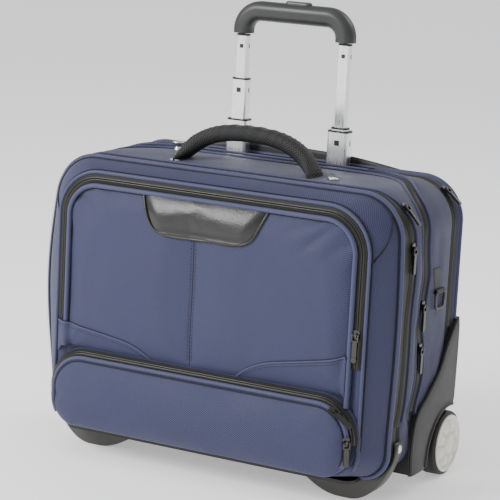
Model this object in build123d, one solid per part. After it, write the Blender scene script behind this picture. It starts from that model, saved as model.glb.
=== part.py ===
"""Rolling laptop case: a soft three-section case on two rear wheels, with a telescoping tow handle.

Millimetres. X is the width, +X to the right of someone facing the front. -Y is the front, +Z is up.
The origin is on the floor, at the middle of the bounding box. Every node is written to parts/NODE.step.
"""

import os
from math import cos, radians, sin

from build123d import *

# ---- Driving dimensions ---------------------------------------------------------------------
HALF_WIDTH = 217.0  # outside of the side walls
BOTTOM, TOP = 30.0, 344.0  # outside of the lids' lower edge and of the top panel
CORNER_TOP, CORNER_BOTTOM = 48.0, 30.0  # radii of the case seen from the front
WALL = 4.0  # padded fabric over board
GAP = 0.4  # between fabric parts that move apart
BASE_Z, BASE_THICK, BASE_HALF = 26.0, 3.6, 186.0  # board under the whole case, which carries feet and wheels

FACE_Y = -100.0  # front wall of the front section
ZIP1_Y = -45.0  # organiser zip, between the front and middle sections
ZIP2_SIDE_Y, ZIP2_TOP_Y = -8.0, 60.0  # main zip on the sides, and across the top
FOLD_Y = -95.0  # front edge of the base board, where both lids fold
ZIP3_Y = 74.0  # rear zip
BACK_Y = 92.0  # outside of the back wall

BEVEL_IN = 28.0  # how far the bevelled gusset leans in at its front edge, and how deep it is
ZIP_PROUD = 1.2  # zip tape above the fabric
ZIP_HALF = 6.0  # half of a closed zip's width
ZIP_END_Z = 86.0  # where the side zips stop

WHEEL_R, WHEEL_Y, WHEEL_IN, WHEEL_OUT = 37.5, 88.0, 191.0, 213.0
HUB_R, HUB_OUT, AXLE_R, RUNNING = 32.0, 216.0, 4.0, 0.05

TUBE_X, TUBE_Y = 66.0, 77.0  # centre of each telescoping leg
COLLAR_TOP = 385.0  # top of stage A as it stands
GRIP_BOTTOM, GRIP_TOP = 486.0, 525.0
STAGE_BASE, STAGE_A = (31.0, 19.0, 1.2), (26.0, 16.0, 1.0)  # width, depth, wall
STAGE_B, STAGE_C = (20.5, 12.0, 1.0), (16.0, 8.6, 0.9)

HANDLE_X, HANDLE_Y, HANDLE_PIVOT_Z = 84.0, -17.0, 351.2
HANDLE_RISE = 32.0  # centre of the carry handle's apex above its pivots

os.makedirs("parts", exist_ok=True)


def save(name, *solids):
    """One STEP for one node, which may be a group of separate solids."""
    pieces = [s for shape in solids for s in shape.solids()]
    export_step(pieces[0] if len(pieces) == 1 else Compound(children=pieces), f"parts/{name}.step")


def both_sides(shape):
    """The shape and its mirror image in the YZ plane."""
    return [shape, mirror(shape, Plane.YZ)]


# ---- Helpers for the case's outline -----------------------------------------------------------
def outline(inset=0.0):
    """The case seen from the front, in (x, z), shrunk by inset."""
    face = Pos(0, (TOP + BOTTOM) / 2) * Rectangle(2 * (HALF_WIDTH - inset), TOP - BOTTOM - 2 * inset)
    face = fillet(face.vertices().group_by(Axis.Y)[-1], CORNER_TOP - inset)
    return fillet(face.vertices().group_by(Axis.Y)[0], CORNER_BOTTOM - inset)


def slab(face, front, back):
    """A face drawn in (x, z), as a solid from y = front to y = back."""
    return extrude(Pos(0, back, 0) * (Plane.XZ * face), amount=back - front, dir=(0, -1, 0))


def block(x0, x1, y0, y1, z0, z1):
    return Pos((x0 + x1) / 2, (y0 + y1) / 2, (z0 + z1) / 2) * Box(x1 - x0, y1 - y0, z1 - z0)


def ring(outer, inner, front, back):
    """A band round the case between two insets."""
    return slab(outline(outer) - outline(inner), front, back)


def plan_region(shift, far):
    """Everything on one side of the main zip's line in plan, moved by shift in y and reaching to y = far."""
    wide, start, bend, flat = 240.0, 215.0, 180.0, 112.0
    side, top = ZIP2_SIDE_Y + shift, ZIP2_TOP_Y + shift
    right = Bezier((start, side), (bend, side), (bend, top), (flat, top))
    left = Bezier((-flat, top), (-bend, top), (-bend, side), (-start, side))
    outside = Polyline((-start, side), (-wide, side), (-wide, far), (wide, far), (wide, side), (start, side))
    edge = Wire([right, Line((flat, top), (-flat, top)), left, *outside.edges()])
    return extrude(Face(edge), amount=TOP + 60, dir=(0, 0, 1))


def side_zip(front, back):
    """One half of a zip's tape and coil round the sides and top, standing proud of the fabric."""
    return ring(-ZIP_PROUD, 0, front, back) - block(-300, 300, -200, 200, 0, ZIP_END_Z)


# ---- Rear section: the part that the wheels and the tow handle are fixed to --------------------
def guard_profile():
    """A wheel housing from the side, in (y, z): a swoosh from the rear edge down and forward over the wheel."""
    rear, low = 95.0, 24.0
    swoosh = Spline((rear, 186), (86, 180), (66, 158), (46, 130), (18, 108), (-10, 88), (-17, 58), (-15, low))
    edge = Wire([swoosh, Line((-15, low), (rear, low)), Line((rear, low), (rear, 186))])
    return Face(edge)


def guard_prism(inner, outer):
    """The housing's profile extruded from x = inner to x = outer."""
    return extrude(Pos(inner, 0, 0) * (Plane.YZ * guard_profile()), amount=outer - inner, dir=(1, 0, 0))


GUARD_IN, GUARD_OUT, GUARD_WALL = 180.0, 222.0, 3.0
ARCH_Y, ARCH_Z, ARCH_R = 82.0, 27.0, 58.0  # wheel arch


def housing_pocket():
    """Room inside a housing's upper part for the corner of the case."""
    inside = guard_prism(GUARD_IN + GUARD_WALL, HALF_WIDTH + GAP)
    lowered = Pos(0, 4, -5) * inside
    return (inside & lowered) & block(150, 300, -100, BACK_Y, 92, 300)


def wheel_housing():
    body = guard_prism(GUARD_IN, GUARD_OUT)
    arch = Pos(GUARD_IN + 58, ARCH_Y, ARCH_Z) * Rot(0, 90, 0) * Cylinder(ARCH_R, 100)
    axle_hole = Pos(GUARD_IN + 13, WHEEL_Y, WHEEL_R) * Rot(0, 90, 0) * Cylinder(AXLE_R, 20)
    return body - arch - housing_pocket() - axle_hole


def without_housings(shape):
    """The shape cut away where the wheel housings are."""
    for guard in both_sides(guard_prism(GUARD_IN, 240)):
        shape = shape - guard
    return shape


def clear_of_housings(shape):
    """The shape cut back square in front of the wheel housings, which it moves away from."""
    for corner in both_sides(block(GUARD_IN - 1, 240, -17.5, 100, 0, 94)):
        shape = shape - corner
    return shape


def rear_shell():
    walls = ring(0, WALL, -29, BACK_Y - WALL) & plan_region(GAP, 200)
    back = slab(outline(), BACK_Y - WALL, BACK_Y)
    floor = block(-BASE_HALF, BASE_HALF, -4, BACK_Y - WALL, BOTTOM, BOTTOM + WALL)
    tunnel = block(-112, 112, 66, BACK_Y - WALL, TOP - 10, TOP + 10)
    return without_housings(walls + back + floor) - tunnel


def base_board():
    """Flat board under the whole case, down to the crease that the lids fold about."""
    board = block(-BASE_HALF, BASE_HALF, FOLD_Y, BACK_Y, BASE_Z, BASE_Z + BASE_THICK)
    board = fillet(board.edges().filter_by(Axis.Z).group_by(Axis.Y)[0], 12)
    return without_housings(board)


def trolley_bezel():
    """Tray that closes the tow handle's well, with a hole for each leg."""
    x, y0, y1, floor_z = 111.6, 66.4, 87.6, 322.0
    tray = block(-x, x, y0, y1, floor_z, TOP) - block(-x + 2.5, x - 2.5, y0 + 2, y1 - 2, floor_z + 6, TOP + 5)
    for side in (-1, 1):
        tray = tray - Pos(side * TUBE_X, TUBE_Y, floor_z) * Box(STAGE_A[0] + 0.8, STAGE_A[1] + 0.8, 40)
    return tray


def trolley_flap():
    """Stiffened lip behind the well, standing highest in the middle."""
    half, rise, y0 = 112.0, 13.0, 89.2
    edge = Wire([ThreePointArc((-half, TOP), (0, TOP + rise), (half, TOP)), Line((half, TOP), (-half, TOP))])
    return slab(Face(edge), y0, BACK_Y)


save("rear_shell", rear_shell())
save("base_board", base_board())
save("stiffener_boards",
     block(-176, 176, 62, 64.5, BOTTOM + WALL, 321.5),
     block(-176, 176, -3, 61, BOTTOM + WALL, BOTTOM + WALL + 3))
save("trolley_bezel", trolley_bezel())
save("trolley_flap", trolley_flap())
save("wheel_housings", *both_sides(wheel_housing()))
save("axles", *both_sides(
    Pos((GUARD_IN + 3 + HUB_OUT - 5) / 2, WHEEL_Y, WHEEL_R) * Rot(0, 90, 0)
    * Cylinder(AXLE_R, HUB_OUT - 5 - GUARD_IN - 3)))
save("kick_plate", block(-GUARD_IN, GUARD_IN, BACK_Y, BACK_Y + 2.5, BASE_Z, 68)
     + block(-GUARD_IN, GUARD_IN, 66, BACK_Y + 2.5, BASE_Z - 2.5, BASE_Z))
save("back_pad", fillet(block(-150, 150, BACK_Y, BACK_Y + 5, 84, 326).edges().filter_by(Axis.Y), 24))


def screw(x, y, z):
    """Pan-head screw whose head stands on the back of a housing."""
    return Pos(x, y, z) * Rot(-90, 0, 0) * (Cylinder(3.6, 1.8) - Pos(0, 0, 0.9) * Box(4.6, 0.9, 1.4))


def rivet(x, y, z, turn=0):
    """Domed rivet head lying on a surface."""
    head = Pos(0, 0, -3.2) * Sphere(5.2) & Pos(0, 0, 1.0) * Box(12, 12, 2.0)
    return Pos(x, y, z) * Rot(0, turn, 0) * head


# Skids under the front corners, each with an arm that is riveted up beside the case.
FOOT_X, FOOT_R, FOOT_Y0, FOOT_Y1 = 162.0, 58.0, -64.0, -43.0
ARM_IN, ARM_OUT, ARM_TOP = HALF_WIDTH + GAP, HALF_WIDTH + 4.0, 62.0


def front_foot():
    """Curved skid under a front corner, with an arm that runs up beside the case."""
    disc = Pos(FOOT_X, FOOT_R - 1) * Circle(FOOT_R)  # leaves a flat 21 mm long to stand on
    skid = disc & (Pos(FOOT_X, BASE_Z / 2) * Rectangle(2 * FOOT_R, BASE_Z))
    arm = (outline(-4) - outline(-GAP)) & (Pos(206.2, 36) * Rectangle(40, 2 * (ARM_TOP - 36)))
    corner = (Pos(205.2, 20) * Rectangle(38, 14)) & outline(-4)
    tip = Pos((ARM_IN + ARM_OUT) / 2, (FOOT_Y0 + FOOT_Y1 + 8) / 2, ARM_TOP) * Rot(0, 90, 0)
    tip = tip * Cylinder(6.5, ARM_OUT - ARM_IN)
    outer = slab(arm, FOOT_Y0 + 8, FOOT_Y1) + slab(corner - outline(-GAP), FOOT_Y0 + 8, FOOT_Y1)
    return slab(skid, FOOT_Y0, FOOT_Y1) + outer + tip


save("front_feet", *both_sides(front_foot()))
save("base_fasteners",
     *[screw(side * x, 95.9, z) for side in (-1, 1) for x, z in ((188, 100), (188, 150), (212, 100))],
     *both_sides(rivet(ARM_OUT, (FOOT_Y0 + FOOT_Y1 + 8) / 2, ARM_TOP, 90)))

zip2_rear = side_zip(-20, 90) & (plan_region(GAP, 200) - plan_region(ZIP_HALF, 200))
zip3 = side_zip(ZIP3_Y - ZIP_HALF, ZIP3_Y + ZIP_HALF) - block(-120, 120, 0, 120, 300, 400)
save("rear_zip_tapes", without_housings(zip2_rear), without_housings(zip3))

# Side tabs, whose barrels carry the shoulder-strap rings.
RING_Y, RING_Z, RING_X, WIRE_R = 34.0, 226.0, 221.3, 1.5
BARREL_R = RING_X - HALF_WIDTH - 0.8


def side_tab():
    edge = Polyline((12, 256), (56, 252), (46, 226), (22, 226), (12, 256), close=True)
    leaf = extrude(Pos(HALF_WIDTH, 0, 0) * (Plane.YZ * make_face(edge)), amount=1.8, dir=(1, 0, 0))
    barrel = Pos(RING_X, RING_Y, RING_Z) * Rot(90, 0, 0) * Cylinder(BARREL_R, 15)
    bore = Pos(RING_X, RING_Y, RING_Z) * Rot(90, 0, 0) * Cylinder(WIRE_R + RUNNING, 60)
    return leaf + barrel - bore


def strap_ring():
    """A D of round wire, hanging from its straight side."""
    half, drop = 13.0, 19.0
    d = FilletPolyline((-half, 0), (half, 0), (half * 0.75, -drop), (-half * 0.75, -drop), radius=4.0, close=True)
    path = Pos(RING_X, RING_Y, RING_Z) * (Plane.YZ * d)
    start = Plane(origin=path @ 0, z_dir=path % 0)
    return sweep(start * Circle(WIRE_R), path=path)


save("side_tabs", *both_sides(side_tab()))
save("strap_ring_right", strap_ring())
save("strap_ring_left", mirror(strap_ring(), Plane.YZ))


# ---- Tow handle: base tubes, three telescoping stages and a grip -------------------------------
SLEEVE, WINDOW_DROP = 16.0, 12.0  # length of a collar's sleeve, and how far its snap tabs are below the tube's end


def tube(size, side, bottom, top, window=0.0):
    """Rounded rectangular tube, with windows near its top that its bushing snaps into."""
    width, depth, wall = size
    outer = RectangleRounded(width, depth, 3.0)
    inner = RectangleRounded(width - 2 * wall, depth - 2 * wall, 3.0 - wall)
    body = Pos(side * TUBE_X, TUBE_Y, bottom) * extrude(outer - inner, amount=top - bottom)
    if window:
        cut = Box(window, depth + 2, window) + Box(width + 2, 1.6, window)
        body = body - Pos(side * TUBE_X, TUBE_Y, top - WINDOW_DROP) * cut
    return body


def bushing(size, inner_size, side, top, window):
    """Collar on a tube's top: a rim, a sleeve that guides the next stage, and tabs that fill the windows."""
    width, depth, wall = size
    if inner_size:
        hole_w, hole_d = inner_size[0] + 0.6, inner_size[1] + 0.6
    else:
        hole_w, hole_d = 12.4, 4.6
    rim = extrude(RectangleRounded(width, depth, 3.0), amount=2)
    sleeve = extrude(RectangleRounded(width - 2 * wall, depth - 2 * wall, 3.0 - wall), amount=SLEEVE)
    sleeve = Pos(0, 0, -SLEEVE) * sleeve
    tab_front = Pos(0, 0, -WINDOW_DROP) * Box(window, depth + 0.4, window)
    tab_side = Pos(0, 0, -WINDOW_DROP) * Box(width + 0.4, 1.6, window)
    hole = Pos(0, 0, -40) * extrude(RectangleRounded(hole_w, hole_d, 1.8), amount=60)
    return Pos(side * TUBE_X, TUBE_Y, top) * (rim + sleeve + tab_front + tab_side - hole)


def guide(size, outer_size, side, bottom):
    """Block on a tube's lower end that slides in the tube outside it, hollow for whatever runs inside."""
    width, depth, wall = size
    out_w, out_d = outer_size[0] - 2 * outer_size[2] - 0.6, outer_size[1] - 2 * outer_size[2] - 0.6
    foot = extrude(RectangleRounded(out_w, out_d, 1.8), amount=10)
    spigot = extrude(RectangleRounded(width - 2 * wall, depth - 2 * wall, 3.0 - wall), amount=22)
    hole = Pos(0, 0, -5) * extrude(RectangleRounded(width - 2 * wall - 1.6, depth - 2 * wall - 1.6, 1.2), amount=40)
    return Pos(side * TUBE_X, TUBE_Y, bottom - 10) * (foot + spigot - hole)


RIM = 2.0
LENGTH_A, LENGTH_C = 296.0, 256.0
TOP_A = COLLAR_TOP - RIM
TOP_B = {-1: TOP_A + 48.0, 1: TOP_A + RIM + 1.5}  # the left leg's stage B is half out, the right one's is in
LENGTH_B = {-1: 273.0, 1: 228.0}
TOP_C = GRIP_BOTTOM - RIM - 1.5
SIDES = {-1: "left", 1: "right"}

save("base_tubes", *[tube(STAGE_BASE, side, 34, 322) for side in SIDES])
save("stage_a_tubes", *[tube(STAGE_A, side, TOP_A - LENGTH_A, TOP_A, 6) for side in SIDES])
save("stage_a_bushings", *[bushing(STAGE_A, STAGE_B, side, TOP_A, 6) for side in SIDES],
     *[guide(STAGE_A, STAGE_BASE, side, TOP_A - LENGTH_A) for side in SIDES])
for side, name in SIDES.items():
    save(f"stage_b_tube_{name}", tube(STAGE_B, side, TOP_B[side] - LENGTH_B[side], TOP_B[side], 5.5))
    save(f"stage_b_bushings_{name}", bushing(STAGE_B, STAGE_C, side, TOP_B[side], 5.5),
         guide(STAGE_B, STAGE_A, side, TOP_B[side] - LENGTH_B[side]))
save("stage_c_tubes", *[tube(STAGE_C, side, TOP_C - LENGTH_C, TOP_C, 4.5) for side in SIDES])
save("stage_c_bushings", *[bushing(STAGE_C, None, side, TOP_C, 4.5) for side in SIDES],
     *[guide(STAGE_C, STAGE_B, side, TOP_C - LENGTH_C) for side in SIDES])

GRIP_BAR_Z, GRIP_BEND, GRIP_DEPTH, GRIP_THICK = 512.8, 23.0, 22.6, 23.0
ROD_X, ROD_R = 62.0, 1.6
BUTTON_LONG, BUTTON_WIDE, BUTTON_PROUD, BUTTON_X = 33.0, 12.0, 3.2, 4.0


def grip():
    """U-shaped grip in a front and a rear half, with a way through for the release rods and a seat for the button."""
    path = FilletPolyline((-TUBE_X, GRIP_BOTTOM), (-TUBE_X, GRIP_BAR_Z), (TUBE_X, GRIP_BAR_Z),
                          (TUBE_X, GRIP_BOTTOM), radius=GRIP_BEND)
    path = Pos(0, TUBE_Y, 0) * (Plane.XZ * path)
    section = Plane(origin=path @ 0, x_dir=(1, 0, 0), z_dir=path % 0) * RectangleRounded(GRIP_THICK, GRIP_DEPTH, 9.5)
    body = sweep(section, path=path)
    body = body - block(-ROD_X - 4, ROD_X + 4, TUBE_Y - 3, TUBE_Y + 3, 503, 511.5)
    for side in SIDES:
        body = body - Pos(side * TUBE_X, TUBE_Y, GRIP_BOTTOM) * Box(12.8, 5, 2 * (504 - GRIP_BOTTOM))
    seat = Pos(BUTTON_X, TUBE_Y, 506) * extrude(SlotOverall(BUTTON_LONG + 0.8, BUTTON_WIDE + 0.8), amount=40)
    body = body - seat
    halves = [body & block(-200, 200, -100, TUBE_Y, 400, 600), body & block(-200, 200, TUBE_Y, 200, 400, 600)]
    return halves


def release_rods():
    """Bar under the button, with a rod down each leg to its latches."""
    bar = block(-ROD_X - ROD_R, ROD_X + ROD_R, TUBE_Y - 2.4, TUBE_Y + 2.4, 507.5, 510.5)
    for side in SIDES:
        bar = bar + Pos(side * ROD_X, TUBE_Y, 0) * extrude(Pos(0, 0, 222) * Circle(ROD_R), amount=286)
    return bar


def grip_button():
    height = GRIP_TOP - 1 + BUTTON_PROUD - 510.5
    body = Pos(BUTTON_X, TUBE_Y, 510.5) * extrude(SlotOverall(BUTTON_LONG, BUTTON_WIDE), amount=height)
    return fillet(body.edges().group_by(Axis.Z)[-1], 2.4)


save("grip_halves", *grip())
save("release_rods", release_rods())
save("grip_button", grip_button())


# ---- Wheels --------------------------------------------------------------------------------
def about_axle(profile):
    """Turns a profile drawn as (x, radius) about the axle."""
    face = make_face(Polyline(*profile, close=True))
    return Pos(0, WHEEL_Y, WHEEL_R) * revolve(Plane.XY * face, Axis.X)


def tyre():
    profile = ((WHEEL_IN, HUB_R - 2), (WHEEL_IN, WHEEL_R - 2.5), (WHEEL_IN + 3, WHEEL_R),
               (WHEEL_OUT - 3, WHEEL_R), (WHEEL_OUT, WHEEL_R - 2.5), (WHEEL_OUT, HUB_R - 2))
    return about_axle(profile)


def hub():
    """Dished hub with a blind bore for the axle and ten shallow pockets in its face."""
    bore, seat = AXLE_R + RUNNING, HUB_R - 2
    profile = ((WHEEL_IN, bore), (WHEEL_IN, 10), (WHEEL_IN + 6, 12), (WHEEL_IN + 6, seat - 3), (WHEEL_IN, seat - 3),
               (WHEEL_IN, seat), (WHEEL_OUT, seat), (WHEEL_OUT + 0.6, seat - 1.5), (HUB_OUT - 1, 14),
               (HUB_OUT, 11), (HUB_OUT, 0), (HUB_OUT - 4, 0), (HUB_OUT - 4, bore))
    body = about_axle(profile)
    for i in range(10):
        turn = Pos(0, WHEEL_Y, WHEEL_R) * Rot(36 * i, 0, 0)
        body = body - turn * (Pos(WHEEL_OUT + 2.3, 21, 0) * Box(3, 9, 5))
    return body


for side, name in SIDES.items():
    parts = {"tyre": tyre(), "hub": hub()}
    for label, shape in parts.items():
        save(f"wheel_{label}_{name}", shape if side == 1 else mirror(shape, Plane.YZ))

# ---- Middle section: top panel with the carry handle, and the front feet -----------------------
def middle_shell():
    walls = ring(0, WALL, ZIP1_Y + GAP, 90) & plan_region(-GAP, -200)
    walls = walls - block(-BASE_HALF + 1, BASE_HALF - 1, ZIP1_Y + 2 * WALL, 120, 0, BOTTOM + WALL + GAP)
    partition = slab(outline(), ZIP1_Y + GAP, ZIP1_Y + GAP + WALL)
    gusset = block(-BASE_HALF, BASE_HALF, FOLD_Y + 1, ZIP1_Y + WALL, BOTTOM, BOTTOM + 1.6)
    return clear_of_housings(walls + partition) + gusset


def handle_mount():
    """Base plate with the pin that an end of the carry handle turns on."""
    plate = block(HANDLE_X - 8, HANDLE_X + 22, HANDLE_Y - 12, HANDLE_Y + 20, TOP, TOP + 1.6)
    plate = fillet(plate.edges().filter_by(Axis.Z), 5)
    lug = block(HANDLE_X + 7, HANDLE_X + 11, HANDLE_Y - 5, HANDLE_Y + 5, TOP + 1, HANDLE_PIVOT_Z + 4)
    pin = Pos(HANDLE_X + 1.5, HANDLE_Y, HANDLE_PIVOT_Z) * Rot(0, 90, 0) * Cylinder(2.5, 13)
    return plate + lug + pin


save("middle_shell", middle_shell())
zip1_rear = side_zip(ZIP1_Y + GAP, ZIP1_Y + ZIP_HALF)
zip2_front = side_zip(-40, 90) & (plan_region(-GAP, -200) - plan_region(-ZIP_HALF, -200))
save("middle_zip_tapes", clear_of_housings(zip1_rear), clear_of_housings(zip2_front))
# The front section's floor rises past the pad's lower edge as that section folds open.
save("divider_pad", fillet(block(-172, 172, ZIP1_Y - 8, ZIP1_Y + GAP, 68, 276).edges().filter_by(Axis.Y), 18))
save("handle_mounts", *both_sides(handle_mount()))
save("handle_rivets", *both_sides(rivet(HANDLE_X + 16, HANDLE_Y + 10, TOP + 1.6)))


def carry_handle():
    """Arched grip that thickens from its two eyes to the middle."""
    x0, z0 = HANDLE_X - 1.0, HANDLE_PIVOT_Z
    steps = 9
    sections = []
    for i in range(steps):
        t = i / (steps - 1)
        angle = radians(180 * t)
        x, z = -x0 * cos(angle), z0 + HANDLE_RISE * sin(angle) ** 0.9
        lean = (x0 * sin(angle), HANDLE_RISE * 0.9 * cos(angle))
        grow = min(1.0, sin(angle) * 1.6)
        depth, thick = 10.0 + 12.0 * grow, 9.0 + 9.5 * grow
        if i in (0, steps - 1):
            lean = (0.35, 1.0 if i == 0 else -1.0)
        place = Plane(origin=(x, HANDLE_Y, z), x_dir=(0, 1, 0), z_dir=(lean[0], 0, lean[1]))
        sections.append(place * Ellipse(depth / 2, thick / 2))
    body = loft(sections)
    for side in SIDES:
        eye = Pos(side * (HANDLE_X - 1), HANDLE_Y, z0) * Rot(0, 90, 0) * Cylinder(5.2, 12)
        bore = Pos(side * (HANDLE_X + 2), HANDLE_Y, z0) * Rot(0, 90, 0) * Cylinder(2.5 + RUNNING, 14.5)
        body = body + eye - bore
    return body


save("carry_handle", carry_handle())


# ---- Front section: organiser compartment, with the two front pockets ---------------------------
FLAP_LOW, FLAP_HALF, FLAP_TOP, FLAP_R = 168.0, 186.0, 323.0, 46.0
PANEL = 5.6  # thickness of the upper pocket's padded panel
DIVIDER_Y = -79.0  # front of the wall between the front pockets and the organiser


def pocket_outline(inset=0.0, low=FLAP_LOW):
    """The upper pocket's panel, in (x, z), square at its folded lower edge."""
    height = FLAP_TOP - inset - low
    face = Pos(0, low + height / 2) * Rectangle(2 * (FLAP_HALF - inset), height)
    return fillet(face.vertices().group_by(Axis.Y)[-1], FLAP_R - inset)


def front_body():
    """The front section's outer form: straight behind the piping, bevelled in front of it but for its foot."""
    body = slab(outline(), FACE_Y, ZIP1_Y - GAP)
    body = chamfer(body.edges().group_by(Axis.Y)[0], BEVEL_IN)
    body = body + block(-BASE_HALF, BASE_HALF, FACE_Y, FACE_Y + BEVEL_IN, BOTTOM, BOTTOM + BEVEL_IN + 2)
    # Clear of the middle section's gusset, which lies under this floor.
    return body - block(-BASE_HALF - GAP, BASE_HALF + GAP, FOLD_Y - 1, 0, 0, BOTTOM + 1.6 + GAP)


def front_shell():
    """The organiser: a tray open to the back, whose floor is the divider behind the two pockets."""
    tray = front_body() & slab(outline(-5), DIVIDER_Y, ZIP1_Y)
    return tray - slab(outline(WALL), DIVIDER_Y + WALL, ZIP1_Y + 5)


def front_frame():
    """The padded front wall and bevel, with a window for each pocket, and the wings sewn over its corners."""
    frame = front_body() & slab(outline(-5), FACE_Y - 5, DIVIDER_Y)
    frame = frame - slab(pocket_outline(6, FLAP_LOW + 4), FACE_Y - 5, DIVIDER_Y)
    frame = frame - slab(low_outline(10), FACE_Y - 5, DIVIDER_Y)
    for wing in both_sides(corner_patches()):
        frame = frame + wing
    return frame


def corner_patches():
    """Sewn-on wings that cover the lower corners of the front wall."""
    edge = Wire([Spline((188.5, 166), (150, 160), (100, 153), (70, 146), (52, 133)),
                 Line((52, 133), (52, 128)), Line((52, 128), (188.5, 128)), Line((188.5, 128), (188.5, 166))])
    return slab(Face(edge), FACE_Y - 1.2, FACE_Y)


LOW_HALF, LOW_TOP, LOW_BOTTOM, LOW_FRONT = 193.0, 124.0, 31.0, -125.5
LOW_R, LOW_FOOT_R, LOW_ROLL = 44.0, 26.0, 17.0  # upper and lower corner radius, and the roll of the front edge


def low_outline(inset=0.0):
    """The lower pocket, in (x, z): long, with round ends."""
    height = LOW_TOP - LOW_BOTTOM - 2 * inset
    face = Pos(0, (LOW_TOP + LOW_BOTTOM) / 2) * Rectangle(2 * (LOW_HALF - inset), height)
    lower, upper = face.vertices().group_by(Axis.Y)[0], face.vertices().group_by(Axis.Y)[-1]
    return fillet(upper, LOW_R - inset) & fillet(lower, LOW_FOOT_R - inset)


def lower_pocket():
    """Bulging shell, open towards the front wall."""
    outer = slab(low_outline(), LOW_FRONT, FACE_Y - GAP)
    outer = fillet(outer.edges().group_by(Axis.Y)[0], LOW_ROLL)
    inner = slab(low_outline(3), LOW_FRONT + 3, FACE_Y + 1)
    inner = fillet(inner.edges().group_by(Axis.Y)[0], LOW_ROLL - 3)
    return outer - inner


save("front_shell", front_shell())
save("front_frame", front_frame())
zip1_front = side_zip(ZIP1_Y - ZIP_HALF, ZIP1_Y - GAP)
pocket_outer = slab(pocket_outline(-2.4, FLAP_LOW + 14) - pocket_outline(-0.4, FLAP_LOW), FACE_Y - 4.6, FACE_Y)
pocket_outer = pocket_outer - block(-300, 300, -200, 0, 0, FLAP_LOW)
low_zip_band = (low_outline(-5) - low_outline(-0.4)) & (Pos(0, 101) * Rectangle(500, 76))
save("front_zip_tapes", zip1_front, pocket_outer, slab(low_zip_band, FACE_Y - 2.2, FACE_Y)
     - block(-300, 300, FACE_Y - 1.2, FACE_Y, 127.9, 200))

save("pocket_panel", slab(pocket_outline(4.5), FACE_Y - GAP - PANEL, FACE_Y - GAP))
save("pocket_zip_tape", slab(pocket_outline(0) - pocket_outline(4.5), FACE_Y - 4.6, FACE_Y - GAP)
     - block(-300, 300, -200, 0, 0, FLAP_LOW + 1))
patch = make_face(Wire([
    Line((-78, 318), (78, 318)), Spline((78, 318), (66, 296), (58, 282), (44, 275)),
    Line((44, 275), (-44, 275)), Spline((-44, 275), (-58, 282), (-66, 296), (-78, 318))]))
save("leather_patch", slab(patch, FACE_Y - GAP - PANEL - 2.2, FACE_Y - GAP - PANEL))
save("lower_pocket", lower_pocket())


# ---- Zip sliders and their pulls ----------------------------------------------------------------
PIN_Z, PIN_R = 3.8, 0.7  # pull's pivot above the tape


def slider_and_pull(length, cap):
    """A slider on its tape and its pull, drawn with the tape in the XY plane, the zip along Y, +Z outward
    and the pull hanging along -Y. The pull turns about X through the slider's bridge."""
    plate = Pos(0, 0, 0.9) * extrude(RectangleRounded(8.4, 11, 2.4), amount=1.3)
    bridge = Pos(0, 0, 3.5) * Box(2.6, 3.8, 2.7)
    pivot = Pos(0, 0, PIN_Z) * Rot(0, 90, 0)
    slider = plate + bridge + pivot * Cylinder(PIN_R, 8.2)
    arms = Pos(0, -3.4, PIN_Z) * Box(8.4, 6.8, 2.4) + pivot * Cylinder(1.2, 8.4)
    arms = arms - Pos(0, -1.2, PIN_Z) * Box(5.4, 8.4, 4) - pivot * Cylinder(PIN_R + RUNNING, 10)
    bar = Pos(0, -6.6 - length / 2, PIN_Z) * Box(5.6, length, 2.2)
    pull = arms + fillet(bar.edges().filter_by(Axis.Z), 2.0)
    if cap:
        tip = Pos(0, -6.6 - length, PIN_Z)
        pull = pull + (tip * Sphere(3.6) & tip * Box(9, 9, 3.0))
    return slider, pull


def on_surface(x, y, z, outward, along):
    """Place for a slider: outward is the fabric's normal, along the direction away from its pull."""
    across = Vector(*along).cross(Vector(*outward))
    return Location(Plane(origin=(x, y, z), x_dir=across, z_dir=Vector(*outward)))


SIDE_X = HALF_WIDTH + ZIP_PROUD - 0.5
CORNER_C = (HALF_WIDTH - CORNER_TOP, TOP - CORNER_TOP)  # centre of the top corner's arc
TURN1, TURN3 = radians(42), radians(48)
REACH = CORNER_TOP + ZIP_PROUD - 0.5


def corner_place(turn, y):
    """On the top right corner's arc, at an angle up from +X, with the pull hanging down round the arc."""
    out = (cos(turn), 0, sin(turn))
    up = (-sin(turn), 0, cos(turn))
    return on_surface(CORNER_C[0] + REACH * out[0], y, CORNER_C[1] + REACH * out[2], out, up)


UP, RIGHT, FRONT = (0, 0, 1), (1, 0, 0), (0, -1, 0)
LOW_CENTRE, LOW_REACH = (LOW_HALF - LOW_R, LOW_TOP - LOW_R), LOW_R - LOW_ROLL * (1 - cos(radians(45)))
LOW_SLIDER_Y = LOW_FRONT + LOW_ROLL * (1 - sin(radians(45)))


def low_place(turn):
    """On the lower pocket's rounded right shoulder, at an angle up from +X about the corner's centre."""
    c, s = cos(radians(turn)), sin(radians(turn))
    out = (c * 0.7071, -0.7071, s * 0.7071)
    place = (LOW_CENTRE[0] + LOW_REACH * c, LOW_SLIDER_Y, LOW_CENTRE[1] + LOW_REACH * s)
    return on_surface(*place, out, (-s, 0, c))


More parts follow.
